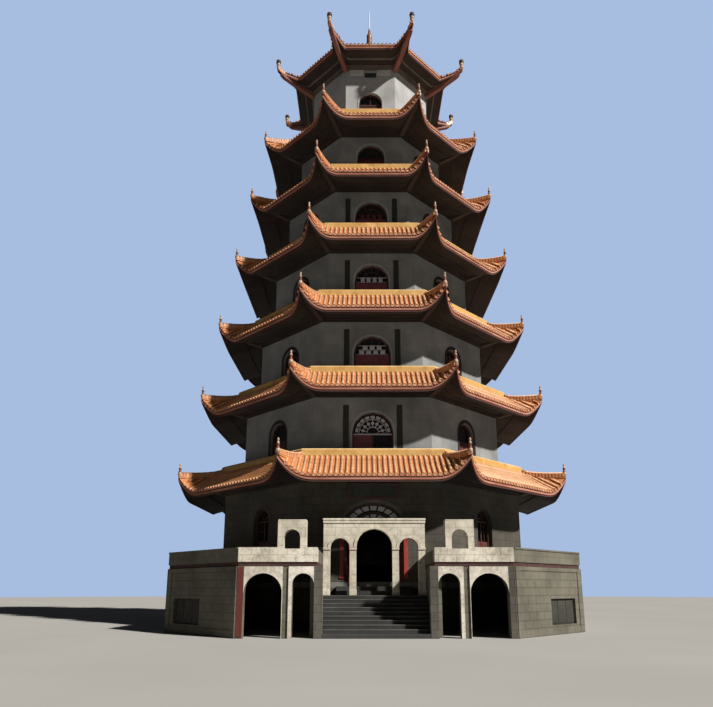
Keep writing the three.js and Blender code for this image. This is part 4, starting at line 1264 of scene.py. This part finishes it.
BY_START = {
    # The ground storey's blocks carry painted shade
    "front_wall": DARK_BLOCK_AND_SHADE, "storey_1_wall": DARK_BLOCK_AND_SHADE, "tower_plinth": DARK_BLOCK_AND_SHADE,
    # Storey 7's paler render is partly painted sky light
    "storey_7_wall": PALE_RENDER_AND_SKY_LIGHT, "podium_wall": PODIUM_BLOCK, "passage_wall": PODIUM_BLOCK,
    "terrace_slab": TERRACE, "terrace_parapet": PARAPET, "parapet_arch": CREAM_BLOCK,
    # The stairs' and door steps' stone carries painted shade
    "gate_portico": CREAM_BLOCK, "front_stairs": STEP_STONE_AND_SHADE, "door_steps": STEP_STONE_AND_SHADE, "door_frame": DARK_RED,
    "door_fanlight": GLASS, "door_leaf": RED, "name_board": BOARD,
}
BY_END = {"_windows": GLASS, "_floor": CONCRETE}
for name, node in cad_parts.items():
    finishes = [material for start, material in BY_START.items() if name.startswith(start)]
    finishes += [material for end, material in BY_END.items() if name.endswith(end)]
    node.data.materials.clear()
    node.data.materials.append((finishes + [RENDER])[0])


# Stage, light and camera

FLOOR_RADIUS = 110
FLOOR_Z = -0.005
SUN_AZIMUTH = math.radians(54)
SUN_ELEVATION = math.radians(39)
SUN_ENERGY = 6.4
SUN_WIDTH = math.radians(2.5)
SUN_COLOUR = (1.0, 0.95, 0.87)
# World light as (colour, strength): what lights the object, and what the camera sees behind it
EVEN_LIGHT = ((0.58, 0.63, 0.72, 1), 0.05)
BACKDROP = ((0.41, 0.54, 0.79, 1), 0.95)
# The camera as fitted to the photo, in its pixels
PHOTO_WIDTH, PHOTO_HEIGHT = 713, 707
FOCAL_PIXELS = 634.2
CENTRE_PIXELS = (361.0, 442.0)
SENSOR = 36.0
CAMERA_AT = (-0.476, -32.85, 1.6)
CAMERA_TURN = (math.radians(103), 0, math.radians(0.077))


def add_to_scene(name, data):
    thing = bpy.data.objects.new(name, data)
    bpy.context.scene.collection.objects.link(thing)
    return thing


def stage_floor():
    """A plain pale floor, just under the ground level."""
    g = Graph("floor_plain")
    tone = g.ramp(g.noise(0.15, 2.0), (0.3, (0.34, 0.336, 0.328)), (0.7, (0.37, 0.366, 0.357)))
    mesh = bpy.data.meshes.new("floor")
    turns = [math.pi * i / 32 for i in range(64)]
    ring = [(FLOOR_RADIUS * math.cos(a), FLOOR_RADIUS * math.sin(a), FLOOR_Z) for a in turns]
    mesh.from_pydata(ring, [], [list(range(len(ring)))])
    mesh.materials.append(g.done(tone, 0.9))
    floor = add_to_scene("floor", mesh)


def lights():
    """A low even light all round, a warm key from the right, and a plain pale blue behind the object."""
    world = bpy.data.worlds.new("studio")
    bpy.context.scene.world = world
    world.use_nodes = True
    tree = world.node_tree
    either = tree.nodes.new("ShaderNodeMixShader")
    seen = tree.nodes.new("ShaderNodeLightPath")
    tree.links.new(seen.outputs["Is Camera Ray"], either.inputs["Fac"])
    backgrounds = (tree.nodes["Background"], tree.nodes.new("ShaderNodeBackground"))
    for i, (node, (colour, strength)) in enumerate(zip(backgrounds, (EVEN_LIGHT, BACKDROP))):
        node.inputs["Color"].default_value = colour
        node.inputs["Strength"].default_value = strength
        tree.links.new(node.outputs["Background"], either.inputs[1 + i])
    tree.links.new(either.outputs["Shader"], tree.nodes["World Output"].inputs["Surface"])
    to_sun = Vector((math.sin(SUN_AZIMUTH) * math.cos(SUN_ELEVATION),
                     -math.cos(SUN_AZIMUTH) * math.cos(SUN_ELEVATION), math.sin(SUN_ELEVATION)))
    lamp = bpy.data.lights.new("key", "SUN")
    lamp.energy = SUN_ENERGY
    lamp.angle = SUN_WIDTH
    lamp.color = SUN_COLOUR
    key = add_to_scene("key", lamp)
    key.rotation_mode = "QUATERNION"
    key.rotation_quaternion = to_sun.to_track_quat("Z", "Y")


def photo_camera():
    """The camera where the photographer stood, at eye height, tilted up."""
    lens = bpy.data.cameras.new("camera")
    lens.sensor_width = SENSOR
    lens.lens = FOCAL_PIXELS / PHOTO_WIDTH * SENSOR
    lens.shift_x = -(CENTRE_PIXELS[0] - PHOTO_WIDTH / 2) / PHOTO_WIDTH
    lens.shift_y = (CENTRE_PIXELS[1] - PHOTO_HEIGHT / 2) / PHOTO_WIDTH
    lens.clip_end = 1000
    camera = add_to_scene("camera", lens)
    camera.location = CAMERA_AT
    camera.rotation_euler = CAMERA_TURN
    bpy.context.scene.camera = camera


stage_floor()
lights()
photo_camera()
bpy.context.scene.view_settings.view_transform = "Standard"
